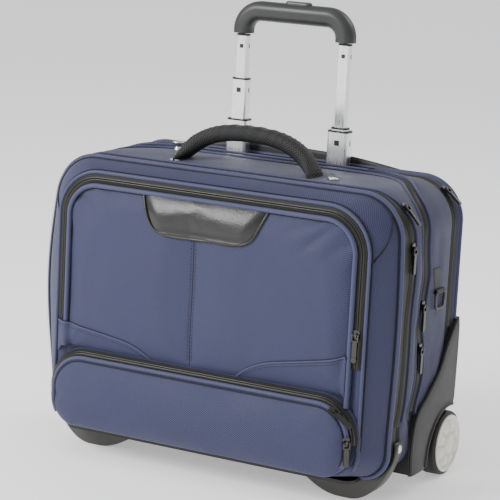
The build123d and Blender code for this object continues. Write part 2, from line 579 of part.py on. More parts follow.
SLIDERS = {
    "zip1_upper": (corner_place(TURN1, ZIP1_Y), 20, False),
    "zip1_lower": (on_surface(SIDE_X, ZIP1_Y, 286, RIGHT, UP), 22, False),
    "zip2_upper": (on_surface(SIDE_X, ZIP2_SIDE_Y, 216, RIGHT, UP), 22, False),
    "zip2_lower": (on_surface(SIDE_X, ZIP2_SIDE_Y, 168, RIGHT, UP), 22, False),
    "zip3": (corner_place(TURN3, ZIP3_Y), 18, False),
    "pocket": (on_surface(FLAP_HALF + 0.2, FACE_Y - 4.2, 196, FRONT, UP), 20, True),
    "lower_left": (low_place(55), 16, True),
    "lower_right": (low_place(2), 20, False),
}
for name, (place, length, cap) in SLIDERS.items():
    slider, pull = slider_and_pull(length, cap)
    save(f"slider_{name}", place * slider)
    save(f"pull_{name}", place * pull)
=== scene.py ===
"""Looks of the rolling laptop case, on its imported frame. Shapes below are written in millimetres."""
import math

import bpy
from mathutils import Matrix, Vector, noise
from mathutils.bvhtree import BVHTree


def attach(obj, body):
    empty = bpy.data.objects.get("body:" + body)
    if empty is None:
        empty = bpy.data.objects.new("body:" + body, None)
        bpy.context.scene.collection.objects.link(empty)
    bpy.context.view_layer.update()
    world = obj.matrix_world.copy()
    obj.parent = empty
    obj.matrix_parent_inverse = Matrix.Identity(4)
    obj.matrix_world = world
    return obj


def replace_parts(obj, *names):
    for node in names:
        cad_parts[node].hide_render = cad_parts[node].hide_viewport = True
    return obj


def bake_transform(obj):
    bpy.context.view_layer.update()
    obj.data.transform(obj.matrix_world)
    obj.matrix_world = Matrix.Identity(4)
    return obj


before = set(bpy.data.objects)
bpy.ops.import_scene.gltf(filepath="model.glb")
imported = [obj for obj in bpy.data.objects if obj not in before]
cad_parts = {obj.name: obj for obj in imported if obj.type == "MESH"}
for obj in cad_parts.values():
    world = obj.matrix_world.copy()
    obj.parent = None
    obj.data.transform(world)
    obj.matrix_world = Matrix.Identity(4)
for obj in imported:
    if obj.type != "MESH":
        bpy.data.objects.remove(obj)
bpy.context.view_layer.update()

MM = 0.001
HALF, FLOOR, TOP = 217.0, 30.0, 344.0  # the case's outline, as in the CAD model
R_TOP, R_BOTTOM = 48.0, 30.0
ZIP1, ZIP2, ZIP2_TOP, ZIP3 = -45.0, -8.0, 57.5, 74.0  # depths of the three zips round the case
SIDES = ((1, "right"), (-1, "left"))


# ---- Materials --------------------------------------------------------------------------------
class Nodes:
    """A small builder for one node material."""

    def __init__(self, name):
        self.mat = bpy.data.materials.new(name)
        self.mat.use_nodes = True
        self.tree = self.mat.node_tree
        self.shader = self.tree.nodes["Principled BSDF"]
        self.coords = self.tree.nodes.new("ShaderNodeTexCoord")

    def add(self, kind, **inputs):
        node = self.tree.nodes.new(kind)
        for key, value in inputs.items():
            if key.startswith("_"):
                setattr(node, key[1:], value)
            else:
                self.put(node, key.replace("_", " "), value)
        return node

    def put(self, node, key, value):
        socket = node.inputs[int(key[1:]) if key[0] == "i" and key[1:].isdigit() else key]
        if isinstance(value, bpy.types.NodeSocket):
            self.tree.links.new(value, socket)
        else:
            socket.default_value = value

    def math(self, kind, a, b=0.0, c=0.0):
        return self.add("ShaderNodeMath", _operation=kind, i0=a, i1=b, i2=c).outputs[0]

    def scaled(self, vector, scale):
        return self.add("ShaderNodeMapping", Vector=vector, Scale=scale).outputs[0]

    def noise(self, scale, detail=4.0, source="Object", stretch=(1, 1, 1), rough=0.55):
        vector = self.scaled(self.coords.outputs[source], stretch)
        node = self.add("ShaderNodeTexNoise", Vector=vector, Scale=scale, Detail=detail, Roughness=rough)
        return node.outputs["Fac"]

    def ramp(self, value, low, high, start=0.0, end=1.0):
        node = self.add("ShaderNodeMapRange", Value=value)
        for key, number in (("From Min", start), ("From Max", end), ("To Min", low), ("To Max", high)):
            node.inputs[key].default_value = number
        return node.outputs[0]

    def mix(self, factor, a, b):
        node = self.add("ShaderNodeMix", _data_type="RGBA", Factor=factor)
        for index, value in ((6, a), (7, b)):
            if isinstance(value, bpy.types.NodeSocket):
                self.tree.links.new(value, node.inputs[index])
            else:
                node.inputs[index].default_value = (*value, 1.0)
        return node.outputs[2]

    def bump(self, height, strength, distance, under=None):
        node = self.add("ShaderNodeBump", Height=height, Strength=strength, Distance=distance)
        if under is not None:
            self.put(node, "Normal", under)
        return node.outputs[0]

    def finish(self, color, rough, normal=None, **fixed):
        if isinstance(color, bpy.types.NodeSocket):
            self.put(self.shader, "Base Color", color)
        else:
            self.shader.inputs["Base Color"].default_value = (*color, 1.0)
        self.put(self.shader, "Roughness", rough)
        if normal is not None:
            self.put(self.shader, "Normal", normal)
        for key, value in fixed.items():
            self.shader.inputs[key.replace("_", " ")].default_value = value
        return self.mat


def woven(name, light, dark, period, sheen=0.35, rough=(0.5, 0.66), bump=0.55):
    """Cloth whose yarns cross on the diagonal, read from UVs laid out in metres."""
    n = Nodes(name)
    uv = n.add("ShaderNodeSeparateXYZ", Vector=n.coords.outputs["UV"])
    turn = 2 * math.pi / (period * MM)
    u = n.math("SINE", n.math("MULTIPLY", uv.outputs[0], turn))
    v = n.math("SINE", n.math("MULTIPLY", uv.outputs[1], turn))
    weave = n.ramp(n.math("MULTIPLY", u, v), 0.0, 1.0, -1.0, 1.0)
    patchy = n.noise(14.0, 3.0)
    fibre = n.noise(900.0, 2.0)
    tone = n.math("MULTIPLY_ADD", weave, 0.82, n.math("MULTIPLY", patchy, 0.14))
    tone = n.math("MULTIPLY_ADD", fibre, 0.1, tone)
    normal = n.bump(weave, bump, 0.0005, n.bump(n.noise(60.0, 3.0), 0.12, 0.002))
    return n.finish(n.mix(n.ramp(tone, 0.0, 1.0, 0.12, 0.95), dark, light), n.ramp(patchy, *rough, 0.3, 0.7),
                    normal, Sheen_Weight=sheen, Sheen_Roughness=0.4, Specular_IOR_Level=0.28)


def leather(name, color, grain=520.0, rough=(0.3, 0.46), coat=0.12):
    n = Nodes(name)
    cells = n.add("ShaderNodeTexVoronoi", Vector=n.coords.outputs["Object"], Scale=grain).outputs["Distance"]
    cloudy = n.noise(22.0, 4.0)
    normal = n.bump(cells, 0.22, 0.0006, n.bump(cloudy, 0.25, 0.003))
    worn = tuple(min(1.0, c * 1.9 + 0.004) for c in color)
    return n.finish(n.mix(n.ramp(cloudy, 0.0, 0.7, 0.35, 0.8), color, worn), n.ramp(cloudy, *rough, 0.3, 0.7),
                    normal, Coat_Weight=coat, Coat_Roughness=0.35, Specular_IOR_Level=0.5)


def plastic(name, color, rough=(0.4, 0.55), grain=1400.0, bump=0.12):
    n = Nodes(name)
    smear, fine = n.noise(16.0, 4.0), n.noise(grain, 2.0)
    paler = tuple(min(1.0, c * 1.35 + 0.004) for c in color)
    normal = n.bump(fine, bump, 0.0003)
    return n.finish(n.mix(n.ramp(smear, 0.0, 1.0, 0.3, 0.75), color, paler), n.ramp(smear, *rough, 0.3, 0.7),
                    normal, Specular_IOR_Level=0.45)


def metal(name, color, rough=(0.16, 0.3), stretch=(1, 1, 0.02), scale=900.0, bump=0.05):
    n = Nodes(name)
    brushed, cloud = n.noise(scale, 3.0, stretch=stretch), n.noise(20.0, 3.0)
    duller = tuple(c * 0.86 for c in color)
    return n.finish(n.mix(n.ramp(cloud, 0.0, 1.0, 0.35, 0.7), color, duller), n.ramp(brushed, *rough, 0.3, 0.7),
                    n.bump(brushed, bump, 0.0002), Metallic=1.0)


def zip_cloth(name, color, period=2.4):
    """Zip tape: fine ribs across its length, with u along it."""
    n = Nodes(name)
    uv = n.add("ShaderNodeSeparateXYZ", Vector=n.coords.outputs["UV"])
    rib = n.math("SINE", n.math("MULTIPLY", uv.outputs[0], 2 * math.pi / (period * MM)))
    across = n.math("SINE", n.math("MULTIPLY", uv.outputs[1], 2 * math.pi / (1.6 * MM)))
    height = n.math("MULTIPLY_ADD", rib, 0.5, n.math("MULTIPLY", across, 0.3))
    tone = n.ramp(n.math("ADD", height, n.noise(30.0)), 0.0, 1.0, -0.4, 1.4)
    paler = tuple(c * 2.4 + 0.004 for c in color)
    return n.finish(n.mix(tone, color, paler), 0.55, n.bump(height, 0.5, 0.0004), Sheen_Weight=0.04,
                    Specular_IOR_Level=0.22)


CLOTH = woven("case_cloth", (0.062, 0.068, 0.150), (0.0065, 0.0075, 0.022), 2.5, 0.12)
# Darker copy of the case cloth for the middle and rear sections: painted shade, standing in for the shade on the sides
# and top that face away from the key light.
CLOTH_SHADED = woven("case_cloth_painted_shade", (0.050, 0.056, 0.128), (0.0065, 0.0075, 0.022), 2.5, 0.14)
PIPING = woven("piping_cloth", (0.078, 0.084, 0.170), (0.026, 0.029, 0.066), 1.7, 0.18, bump=0.25)
NAVY = woven("navy_binding", (0.010, 0.010, 0.024), (0.003, 0.003, 0.008), 1.2, 0.08)
LINING = woven("lining_cloth", (0.036, 0.038, 0.044), (0.014, 0.015, 0.019), 1.6, 0.15, bump=0.3)
MESH = woven("spacer_mesh", (0.030, 0.030, 0.031), (0.0022, 0.0022, 0.0025), 3.4, 0.1, bump=0.9)
TAPE = zip_cloth("zip_tape", (0.0075, 0.0074, 0.0066))
COIL = plastic("zip_coil", (0.010, 0.010, 0.009), (0.28, 0.4))
THREAD = woven("thread", (0.10, 0.11, 0.19), (0.05, 0.055, 0.10), 0.8, 0.15, bump=0.2)
LEATHER = leather("black_leather", (0.0045, 0.0045, 0.0045), 480.0, (0.3, 0.42), 0.12)
STRAP = leather("strap_leather", (0.0055, 0.0055, 0.0055), 700.0, (0.52, 0.66), 0.04)
GREY = plastic("housing_plastic", (0.0075, 0.0075, 0.0075), (0.42, 0.54))
FOOT = plastic("foot_plastic", (0.040, 0.039, 0.036), (0.4, 0.52))
GRIP = plastic("grip_plastic", (0.020, 0.0205, 0.021), (0.34, 0.48))
BUTTON = plastic("button_plastic", (0.05, 0.051, 0.055), (0.3, 0.4))
BLACK = plastic("black_plastic", (0.007, 0.007, 0.0072), (0.4, 0.52))
TYRE = plastic("tyre_rubber", (0.011, 0.011, 0.0112), (0.5, 0.64), 700.0, 0.25)
TUBE = metal("bright_aluminium", (0.93, 0.935, 0.95), (0.2, 0.34))
STEEL = metal("nickel_steel", (0.72, 0.71, 0.68), (0.18, 0.32), (1, 1, 1), 300.0)
GUNMETAL = metal("gunmetal", (0.07, 0.068, 0.066), (0.2, 0.38), (1, 1, 1), 500.0, 0.1)
CAP = plastic("hubcap_silver", (0.66, 0.635, 0.57), (0.24, 0.38), 260.0, 0.1)


# ---- Mesh helpers -------------------------------------------------------------------------------
def make(name, verts, faces, mats, uvs=None, picks=None, smooth=True):
    """A mesh object from points in millimetres, with UVs in metres and a material index per face."""
    mesh = bpy.data.meshes.new(name)
    mesh.from_pydata([Vector(v) * MM for v in verts], [], faces)
    for mat in mats if isinstance(mats, (list, tuple)) else [mats]:
        mesh.materials.append(mat)
    layer = mesh.uv_layers.new(name="UVMap")
    for poly in mesh.polygons:
        poly.use_smooth = smooth
        if picks:
            poly.material_index = picks[poly.index]
        for loop in poly.loop_indices:
            vert = mesh.loops[loop].vertex_index
            layer.data[loop].uv = uvs[vert] if uvs else (mesh.vertices[vert].co.x, mesh.vertices[vert].co.z)
    mesh.validate()
    obj = bpy.data.objects.new(name, mesh)
    bpy.context.scene.collection.objects.link(obj)
    return obj


def place(obj, body, slot, *nodes):
    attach(obj, body)
    if nodes:
        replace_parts(obj, *nodes)
    return obj


def lerp(a, b, t):
    return a + (b - a) * t


def smooth_step(t):
    t = max(0.0, min(1.0, t))
    return t * t * (3 - 2 * t)


def bell(x, centre, width):
    return math.exp(-((x - centre) / width) ** 2)


def rounded(gap, width):
    """Rises from 0 at an edge to 1 at a width inwards, as a quarter circle does."""
    return math.sqrt(1 - (1 - min(1.0, max(0.0, gap) / width)) ** 2)


def wobble(x, y, z, fx, fy, fz, seed=0.0):
    return noise.noise(Vector((x * fx + seed, y * fy, z * fz - seed)))


def with_normals(ring):
    """Each point of a closed (x, z) ring with its outward normal."""
    count = len(ring)
    for i, (x, z) in enumerate(ring):
        a, b = ring[i - 1], ring[(i + 1) % count]
        dx, dz = b[0] - a[0], b[1] - a[1]
        size = math.hypot(dx, dz) or 1.0
        yield x, z, dz / size, -dx / size


def grid_faces(rows, cols, turned_over=False):
    """Quads between neighbouring points of a grid that is stored row by row."""
    corners = (0, cols, cols + 1, 1) if turned_over else (0, 1, cols + 1, cols)
    return [tuple(r * cols + c + k for k in corners) for r in range(rows - 1) for c in range(cols - 1)]


def belt_faces(rings, sides):
    """Quads between neighbouring closed rings of points."""
    return [(r * sides + k, r * sides + (k + 1) % sides, (r + 1) * sides + (k + 1) % sides, (r + 1) * sides + k)
            for r in range(rings - 1) for k in range(sides)]


def spaced(points, count):
    """Evenly spaced places along a flat line."""
    lengths = [0.0]
    for a, b in zip(points, points[1:]):
        lengths.append(lengths[-1] + math.dist(a, b))
    out, k = [], 0
    for i in range(count):
        target = lengths[-1] * i / (count - 1)
        while k < len(points) - 2 and lengths[k + 1] < target:
            k += 1
        t = (target - lengths[k]) / max(1e-9, lengths[k + 1] - lengths[k])
        out.append((lerp(points[k][0], points[k + 1][0], t), lerp(points[k][1], points[k + 1][1], t)))
    return out


def flat_spline(points, per):
    """The smooth curve through points given as two coordinates each."""
    return [(p.x, p.y) for p in spline([(a, b, 0) for a, b in points], per)]


def corner_points(cx, cz, r, start, count):
    return [(cx + r * math.cos(math.radians(start + 90 * i / count)),
             cz + r * math.sin(math.radians(start + 90 * i / count))) for i in range(count)]


def straight(a, b, count):
    return [(lerp(a[0], b[0], i / count), lerp(a[1], b[1], i / count)) for i in range(count)]


def loop(half, low, high, r_top=R_TOP, r_low=R_BOTTOM, wide=96, tall=68, turn=16):
    """A rounded rectangle in (x, z) from the middle of its lower edge, anticlockwise as seen from the front."""
    r_top, r_low = max(r_top, 0.5), max(r_low, 0.5)
    right, left = half - r_low, -half + r_low
    out = straight((0, low), (right, low), wide // 2)
    out += corner_points(right, low + r_low, r_low, -90, turn)
    out += straight((half, low + r_low), (half, high - r_top), tall)
    out += corner_points(half - r_top, high - r_top, r_top, 0, turn)
    out += straight((half - r_top, high), (-half + r_top, high), wide)
    out += corner_points(-half + r_top, high - r_top, r_top, 90, turn)
    out += straight((-half, high - r_top), (-half, low + r_low), tall)
    out += corner_points(left, low + r_low, r_low, 180, turn)
    out += straight((left, low), (0, low), wide // 2)
    return out


def case_loop(inset=0.0):
    return loop(HALF - inset, FLOOR + inset, TOP - inset, R_TOP - inset, R_BOTTOM - inset)


def zip2_line(x):
    """Depth of the main zip at a place across the case: forward on the sides, back on the top."""
    x = abs(x)
    if x >= 215:
        return ZIP2
    if x <= 112:
        return ZIP2_TOP
    low, high = 0.0, 1.0
    for _ in range(24):
        t = (low + high) / 2
        at = 215 * (1 - t) ** 3 + 540 * (1 - t) ** 2 * t + 540 * (1 - t) * t * t + 112 * t ** 3
        low, high = (t, high) if at > x else (low, t)
    t = (low + high) / 2
    return ZIP2 * ((1 - t) ** 3 + 3 * (1 - t) ** 2 * t) + ZIP2_TOP * (3 * (1 - t) * t * t + t ** 3)


def wave1(x, z):
    """How far the organiser zip wanders from its straight line, down the sides."""
    over = 14.0 * smooth_step((z - 298) / 44)
    if abs(x) < 190:
        return -over
    return 5.0 * bell(z, 255, 24) - 2.0 * bell(z, 200, 30) - 7.0 * bell(z, 84, 22) - over


def wave2(x, z):
    """The same for the main zip."""
    if abs(x) < 200:
        return 0.0
    return 7.0 * bell(z, 250, 20) - 6.0 * bell(z, 192, 13) + 4.0 * bell(z, 140, 18) - 10.0 * bell(z, 98, 18)


def rows_mesh(name, rows, mats, row_mats=None, caps=(False, False), skip=None):
    """Skins closed rings of equal length, each a list of (x, y, z). A cap closes the first or last ring."""
    count = len(rows[0])
    verts, faces, uvs, picks = [], [], [], []
    along = [0.0]
    for i in range(1, count + 1):
        a, b = rows[0][i - 1], rows[0][i % count]
        along.append(along[-1] + math.dist(a, b))
    across = [0.0] * count
    for r, row in enumerate(rows):
        if r:
            across = [across[i] + math.dist(rows[r - 1][i], row[i]) for i in range(count)]
        verts += row
        uvs += [(along[i] * MM, across[i] * MM) for i in range(count)]
    for r in range(len(rows) - 1):
        for i in range(count):
            j = (i + 1) % count
            quad = (r * count + i, r * count + j, (r + 1) * count + j, (r + 1) * count + i)
            if skip and skip([verts[k] for k in quad]):
                continue
            faces.append(quad)
            picks.append(row_mats[r] if row_mats else 0)
    for end, wanted in ((0, caps[0]), (len(rows) - 1, caps[1])):
        if wanted is False:
            continue
        ring = [end * count + i for i in range(count)]
        steps = (0.93, 0.82, 0.68, 0.5, 0.3, 0.12)
        cx = sum(rows[end][i][0] for i in range(count)) / count
        cz = (min(p[2] for p in rows[end]) + max(p[2] for p in rows[end])) / 2
        for s in steps:
            new = []
            for i in range(count):
                x, y, z = rows[end][i]
                new.append(len(verts))
                point = (cx + (x - cx) * s, y, cz + (z - cz) * s)
                verts.append(point)
                uvs.append((point[0] * MM, point[2] * MM))
            faces += [(ring[i], ring[(i + 1) % count], new[(i + 1) % count], new[i]) for i in range(count)]
            picks += [wanted] * count
            ring = new
        faces.append(tuple(ring))
        picks.append(wanted)
    return make(name, verts, faces, mats, uvs, picks)


def spline(points, per=10):
    """A smooth curve through a few points."""
    out = []
    pts = [Vector(p) for p in points]
    pts = [pts[0] * 2 - pts[1]] + pts + [pts[-1] * 2 - pts[-2]]
    for i in range(1, len(pts) - 2):
        p0, p1, p2, p3 = pts[i - 1:i + 3]
        for k in range(per):
            t = k / per
            out.append(0.5 * (2 * p1 + (p2 - p0) * t + (2 * p0 - 5 * p1 + 4 * p2 - p3) * t * t
                              + (3 * p1 - p0 - 3 * p2 + p3) * t ** 3))
    out.append(pts[-2])
    return out


def path_frames(points, normals, closed=False):
    """Tangent, outward normal and sideways direction at each point of a path."""
    out = []
    count = len(points)
    for i in range(count):
        a = points[(i - 1) % count] if closed or i else points[i]
        b = points[(i + 1) % count] if closed or i < count - 1 else points[i]
        tangent = (Vector(b) - Vector(a)).normalized()
        up = Vector(normals[i]).normalized()
        up = (up - tangent * up.dot(tangent)).normalized()
        out.append((tangent, up, tangent.cross(up)))
    return out


def ribbon(name, points, normals, section, mats, picks=None, closed=False, ripple=None):
    """Sweeps an open section of (sideways, height) points along a path."""
    frames = path_frames(points, normals, closed)
    verts, uvs, faces, mat_picks = [], [], [], []
    width, run = len(section), 0.0
    for i, point in enumerate(points):
        if i:
            run += math.dist(points[i - 1], point)
        _, up, side = frames[i]
        for k, (across, height) in enumerate(section):
            if ripple:
                height += ripple(i, k)
            verts.append(Vector(point) + side * across + up * height)
            uvs.append((run * MM, across * MM))
    last = len(points) if closed else len(points) - 1
    for i in range(last):
        j = (i + 1) % len(points)
        for k in range(width - 1):
            faces.append((i * width + k, j * width + k, j * width + k + 1, i * width + k + 1))
            mat_picks.append(picks[k] if picks else 0)
    return make(name, verts, faces, mats, uvs, mat_picks)


def resample(points, normals, step, closed=False):
    """Even spacing along a path, with its normals."""
    pts = [Vector(p) for p in points] + ([Vector(points[0])] if closed else [])
    nrm = [Vector(n) for n in normals] + ([Vector(normals[0])] if closed else [])
    lengths = [0.0]
    for a, b in zip(pts, pts[1:]):
        lengths.append(lengths[-1] + (b - a).length)
    count = max(2, round(lengths[-1] / step))
    out_p, out_n, k = [], [], 0
    for i in range(count if closed else count + 1):
        target = lengths[-1] * i / count
        while k < len(pts) - 2 and lengths[k + 1] < target:
            k += 1
        t = (target - lengths[k]) / max(1e-9, lengths[k + 1] - lengths[k])
        out_p.append(pts[k].lerp(pts[k + 1], t))
        out_n.append(nrm[k].lerp(nrm[k + 1], t).normalized())
    return out_p, out_n


COIL_SECTION = [(0.15, 0.2), (0.3, 1.1), (0.9, 1.55), (1.7, 1.35), (2.3, 0.5)]


def half_zip(name, points, normals, width, side, step=1.3):
    """One half of a zip: half a ribbed coil at the centre line, then tape out to the fabric."""
    points, normals = resample(points, normals, step)
    section = COIL_SECTION + [(3.4, 0.45), (width * 0.6, 0.35), (width * 0.85, 0.1), (width, -0.8)]
    section = [(side * a, h) for a, h in section]
    if side < 0:
        section.reverse()
    size = len(section)

    def ripple(i, k):
        k = k if side > 0 else size - 1 - k
        return (0.35 if i % 2 else -0.35) if 0 < k < 4 else 0.0

    picks = [1 if (k if side > 0 else size - 2 - k) < 4 else 0 for k in range(size - 1)]
    return ribbon(name, points, normals, section, [TAPE, COIL], picks, ripple=ripple)


def tube(name, points, normals, radius, mat, closed=False, sides=10):
    """Round piping along a path."""
    section = [(radius * math.cos(2 * math.pi * k / sides), radius * math.sin(2 * math.pi * k / sides))
               for k in range(sides + 1)]
    return ribbon(name, points, normals, section, mat, closed=closed)


def stitches(name, points, normals, mat, length, gap, wide=0.7):
    """A row of separate stitches along a path."""
    points, normals = resample(points, normals, (length + gap) / 4)
    frames = path_frames(points, normals)
    verts, faces, uvs = [], [], []
    for i in range(2, len(points) - 2, 4):
        tangent, up, side = frames[i]
        centre = Vector(points[i]) + up * 0.1
        base = len(verts)
        for t, w, h in ((-0.5, 0.35, 0.0), (-0.3, 0.5, 0.8), (0.3, 0.5, 0.8), (0.5, 0.35, 0.0)):
            for sign in (-1, 0, 1):
                top = h + (0.35 if sign == 0 and h else 0.0)
                verts.append(centre + tangent * t * length + side * sign * w * wide + up * top * 0.45)
                uvs.append((verts[-1].x * MM, verts[-1].z * MM))
        faces += [tuple(base + k for k in quad) for quad in grid_faces(4, 3, turned_over=True)]
    return make(name, verts, faces, mat, uvs)


def piping(name, path, radius, body, mat=PIPING, **settings):
    """Piping, or the dark line of a seam, along a path of points and normals."""
    return place(tube(name, *path, radius, mat, **settings), body, "case_fabric")


def stitching(name, path, body, mat, length, gap, wide=0.7):
    return place(stitches(name, *path, mat, length, gap, wide), body, "case_fabric")


def zip_half(name, path, width, side, body, *nodes):
    return place(half_zip(name, *path, width, side), body, "zip_tape", *nodes)


def outline_path(inset, y_of, low=None):
    """The case's outline as a 3-D path with outward normals, cut off below a height on the sides."""
    pts, nrm = [], []
    for x, z, nx, nz in with_normals(case_loop(inset)):
        if low is None or z >= low:
            pts.append((x + side_bulge(x, y_of(x, z), z), y_of(x, z), z))
            nrm.append((nx, 0, nz))
    return pts, nrm


def side_bulge(x, y, z):
    """How far the soft sides swell out, most on the left and around the piping."""
    if abs(x) < 150 or z < 78:
        return 0.0
    up = math.sin(math.pi * min(1.0, (z - 78) / 240)) ** 1.2
    depth = bell(y, -66, 44)
    reach = smooth_step((abs(x) - 150) / 60)
    return (-11.0 if x < 0 else 3.0) * up * depth * reach


def swell(x, y, z, nx, amount):
    """Padding and slack in the fabric of a side or top strip."""
    side = abs(nx) > 0.7
    folds = wobble(x, y, z, 0.01, 0.055, 0.012, 3.1) if side else wobble(x, y, z, 0.014, 0.03, 0.01, 7.7)
    fine = wobble(x, y, z, 0.03, 0.09, 0.035, 11.0)
    return amount * (1.0 + 1.5 * folds + 0.35 * fine)


def ring_row(inset, y_of, push=0.0, slack=0.0, bulge=True):
    """One ring of a section's skin: the outline at a depth, pushed outward and slackened."""
    out = []
    for x, z, nx, nz in with_normals(case_loop(inset)):
        y = y_of(x, z)
        floor = smooth_step((z - 50) / 45) if nz < 0.5 else 1.0
        move = push * floor + (swell(x, y, z, nx, slack) * floor if slack else 0.0)
        out.append((x + nx * move + (side_bulge(x, y, z) if bulge else 0.0), y, z + nz * move))
    return out


def at(y):
    return lambda x, z: y


def strip_rows(near, far, count, puff, slack):
    """Rings from one zip to the next, rolled down at both edges and padded between."""
    rows = []
    for i in range(count + 1):
        t = i / count
        crown = math.sin(math.pi * t) ** 0.5 if 0 < t < 1 else 0.0
        rows.append(ring_row(0.0, lambda x, z, t=t: lerp(near(x, z), far(x, z), t),
                             puff * crown - 0.6 * (1 - crown), slack * math.sin(math.pi * t)))
    return rows


# ---- Front section ----------------------------------------------------------------------------
U_HALF, U_TOP, U_R, U_Y = 187.5, 324.5, 44.0, -103.5  # centre line of the upper pocket's zip


def u_loop(grow, low=34.0, r_low=34.0):
    return loop(U_HALF + grow, low, U_TOP + grow, U_R + grow, r_low)


def gusset_rows():
    """From the zip round the upper pocket, back over the bevel to the piping."""
    inner, outer = u_loop(3.5), case_loop(1.5)
    rows = []
    for t, out in ((0.0, -1.0), (0.06, 0.6), (0.2, 2.2), (0.4, 3.2), (0.6, 3.4), (0.8, 2.4), (0.94, 0.6), (1.0, -0.8)):
        y = lerp(U_Y, -72.0, t)
        row = []
        for (ax, az), (bx, bz) in zip(inner, outer):
            x, z = lerp(ax, bx, t), lerp(az, bz, t)
            size = math.hypot(bx - ax, bz - az) or 1.0
            nx, nz = (bx - ax) / size, (bz - az) / size
            lift = out * (1 + 0.5 * wobble(x, y, z, 0.012, 0.02, 0.012, 5.0)) * smooth_step((z - 30) / 40)
            row.append((x + nx * lift * 0.7 + side_bulge(x, y, z) * t, y - lift * 0.7, z + nz * lift * 0.7))
        rows.append(row)
    return rows


def front_section():
    rows = [[(x, -80.0, z) for x, z in u_loop(-8.0, 44.0, 30.0)],
            [(x, -99.0, z) for x, z in u_loop(-8.0, 44.0, 30.0)],
            [(x, -101.0, z) for x, z in u_loop(-5.0, 38.0, 32.0)]]
    rows += gusset_rows()
    wave = lambda x, z: ZIP1 + wave1(x, z)
    rows += [ring_row(0.0, at(-68.0), 0.2), ring_row(0.8, at(-66.0)),
             ring_row(1.2, lambda x, z: wave(x, z) - 6.0), ring_row(1.0, lambda x, z: wave(x, z) - 0.5),
             ring_row(4.0, lambda x, z: wave(x, z) - 0.5, bulge=False), ring_row(4.0, at(-75.0), bulge=False)]
    mats = [2] * 2 + [0] * 9 + [1] * 3 + [2] * (len(rows) - 15)
    return rows_mesh("front_section", rows, [CLOTH, TAPE, LINING], mats, caps=(2, 2))


FRONT = front_section()
place(FRONT, "front_case", "case_fabric", "front_shell")
bar = rows_mesh("front_crossbar", [[(x, y, z) for x, z in loop(182, 112, 172, 2, 2, 60, 8, 3)]
                                   for y in (-97.5, -100.5)], CLOTH, caps=(0, 0))
place(bar, "front_case", "case_fabric")

# Piping in front of the organiser zip, and its stitch line.
piping("piping_case", outline_path(0.5, at(-70.5)), 2.9, "front_case", closed=True)
piping("piping_case_seam", outline_path(2.2, at(-74.4)), 0.9, "front_case", NAVY, closed=True, sides=6)
stitching("piping_case_stitches", outline_path(-0.3, at(-76.0), low=44), "front_case", NAVY, 2.2, 1.6)


def front_path(ring, y, low, outward, forward):
    """The part of a ring above a height, as a path whose normals lean outward and forward."""
    pts, nrm = [], []
    for x, z, nx, nz in with_normals(ring):
        if z > low:
            pts.append((x, y, z))
            nrm.append((outward * nx, -forward, outward * nz))
    return pts, nrm


def u_path(grow, y, low, tilt=0.15):
    """The upper pocket's zip as an open path from its right end over the top to its left end."""
    return front_path(u_loop(grow), y, low, tilt, 1)


def settle(obj, slot, *nodes):
    """Panels that are sewn to the front below the fold, and on the real case lift with the flap above it: bakes their
    placement into the mesh and hides the CAD parts they replace, without tying them to the flap.
    """
    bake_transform(obj)
    if nodes:
        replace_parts(obj, *nodes)
    return obj


path = u_path(0.0, U_Y - 1.0, 158.0)
zip_half("upper_zip_outer", path, 6.5, 1, "front_case")
settle(half_zip("upper_zip_inner", *path, 6.5, -1), "zip_tape", "pocket_zip_tape")
piping("piping_bevel", u_path(7.4, U_Y + 0.6, 66.0, 0.5), 1.9, "front_case")
piping("piping_bevel_seam", u_path(10.2, U_Y + 2.6, 66.0, 0.5), 0.7, "front_case", NAVY, sides=6)
bevel = gusset_rows()
for side, name in SIDES:
    path = [Vector(bevel[row][index if side > 0 else len(bevel[0]) - index])
            for row, index in ((7, 141), (6, 139), (5, 136), (4, 133), (3, 131), (2, 129), (1, 127))]
    path = spline([p + Vector((0, -0.5, 0)) for p in path], 8)
    piping(f"mitre_seam_{name}", (path, [(side * 0.5, -0.7, 0.3)] * len(path)), 0.9, "front_case", NAVY, sides=6)


# ---- Pillows: sewn panels drawn on a grid, then puffed up as cloth --------------------------------
def depth_in(x, z, form):
    """Distance inwards from the edge of a rounded outline (half width, low, high, upper and lower radius)."""
    half, low, high, rt, rb = form
    x = abs(x)
    if x > half - rt and z > high - rt:
        return rt - math.hypot(x - half + rt, z - high + rt)
    if x > half - rb and z < low + rb:
        return rb - math.hypot(x - half + rb, low + rb - z)
    return min(half - x, high - z, z - low)


def spread(length, step):
    """Places along a length, closer together near both ends."""
    near = [0.0, 0.8, 2.0, 3.8, 6.2, 9.4]
    middle = length - 2 * near[-1]
    count = max(2, round(middle / step))
    out = near + [near[-1] + middle * i / count for i in range(1, count)]
    return out + [length - n for n in reversed(near)]


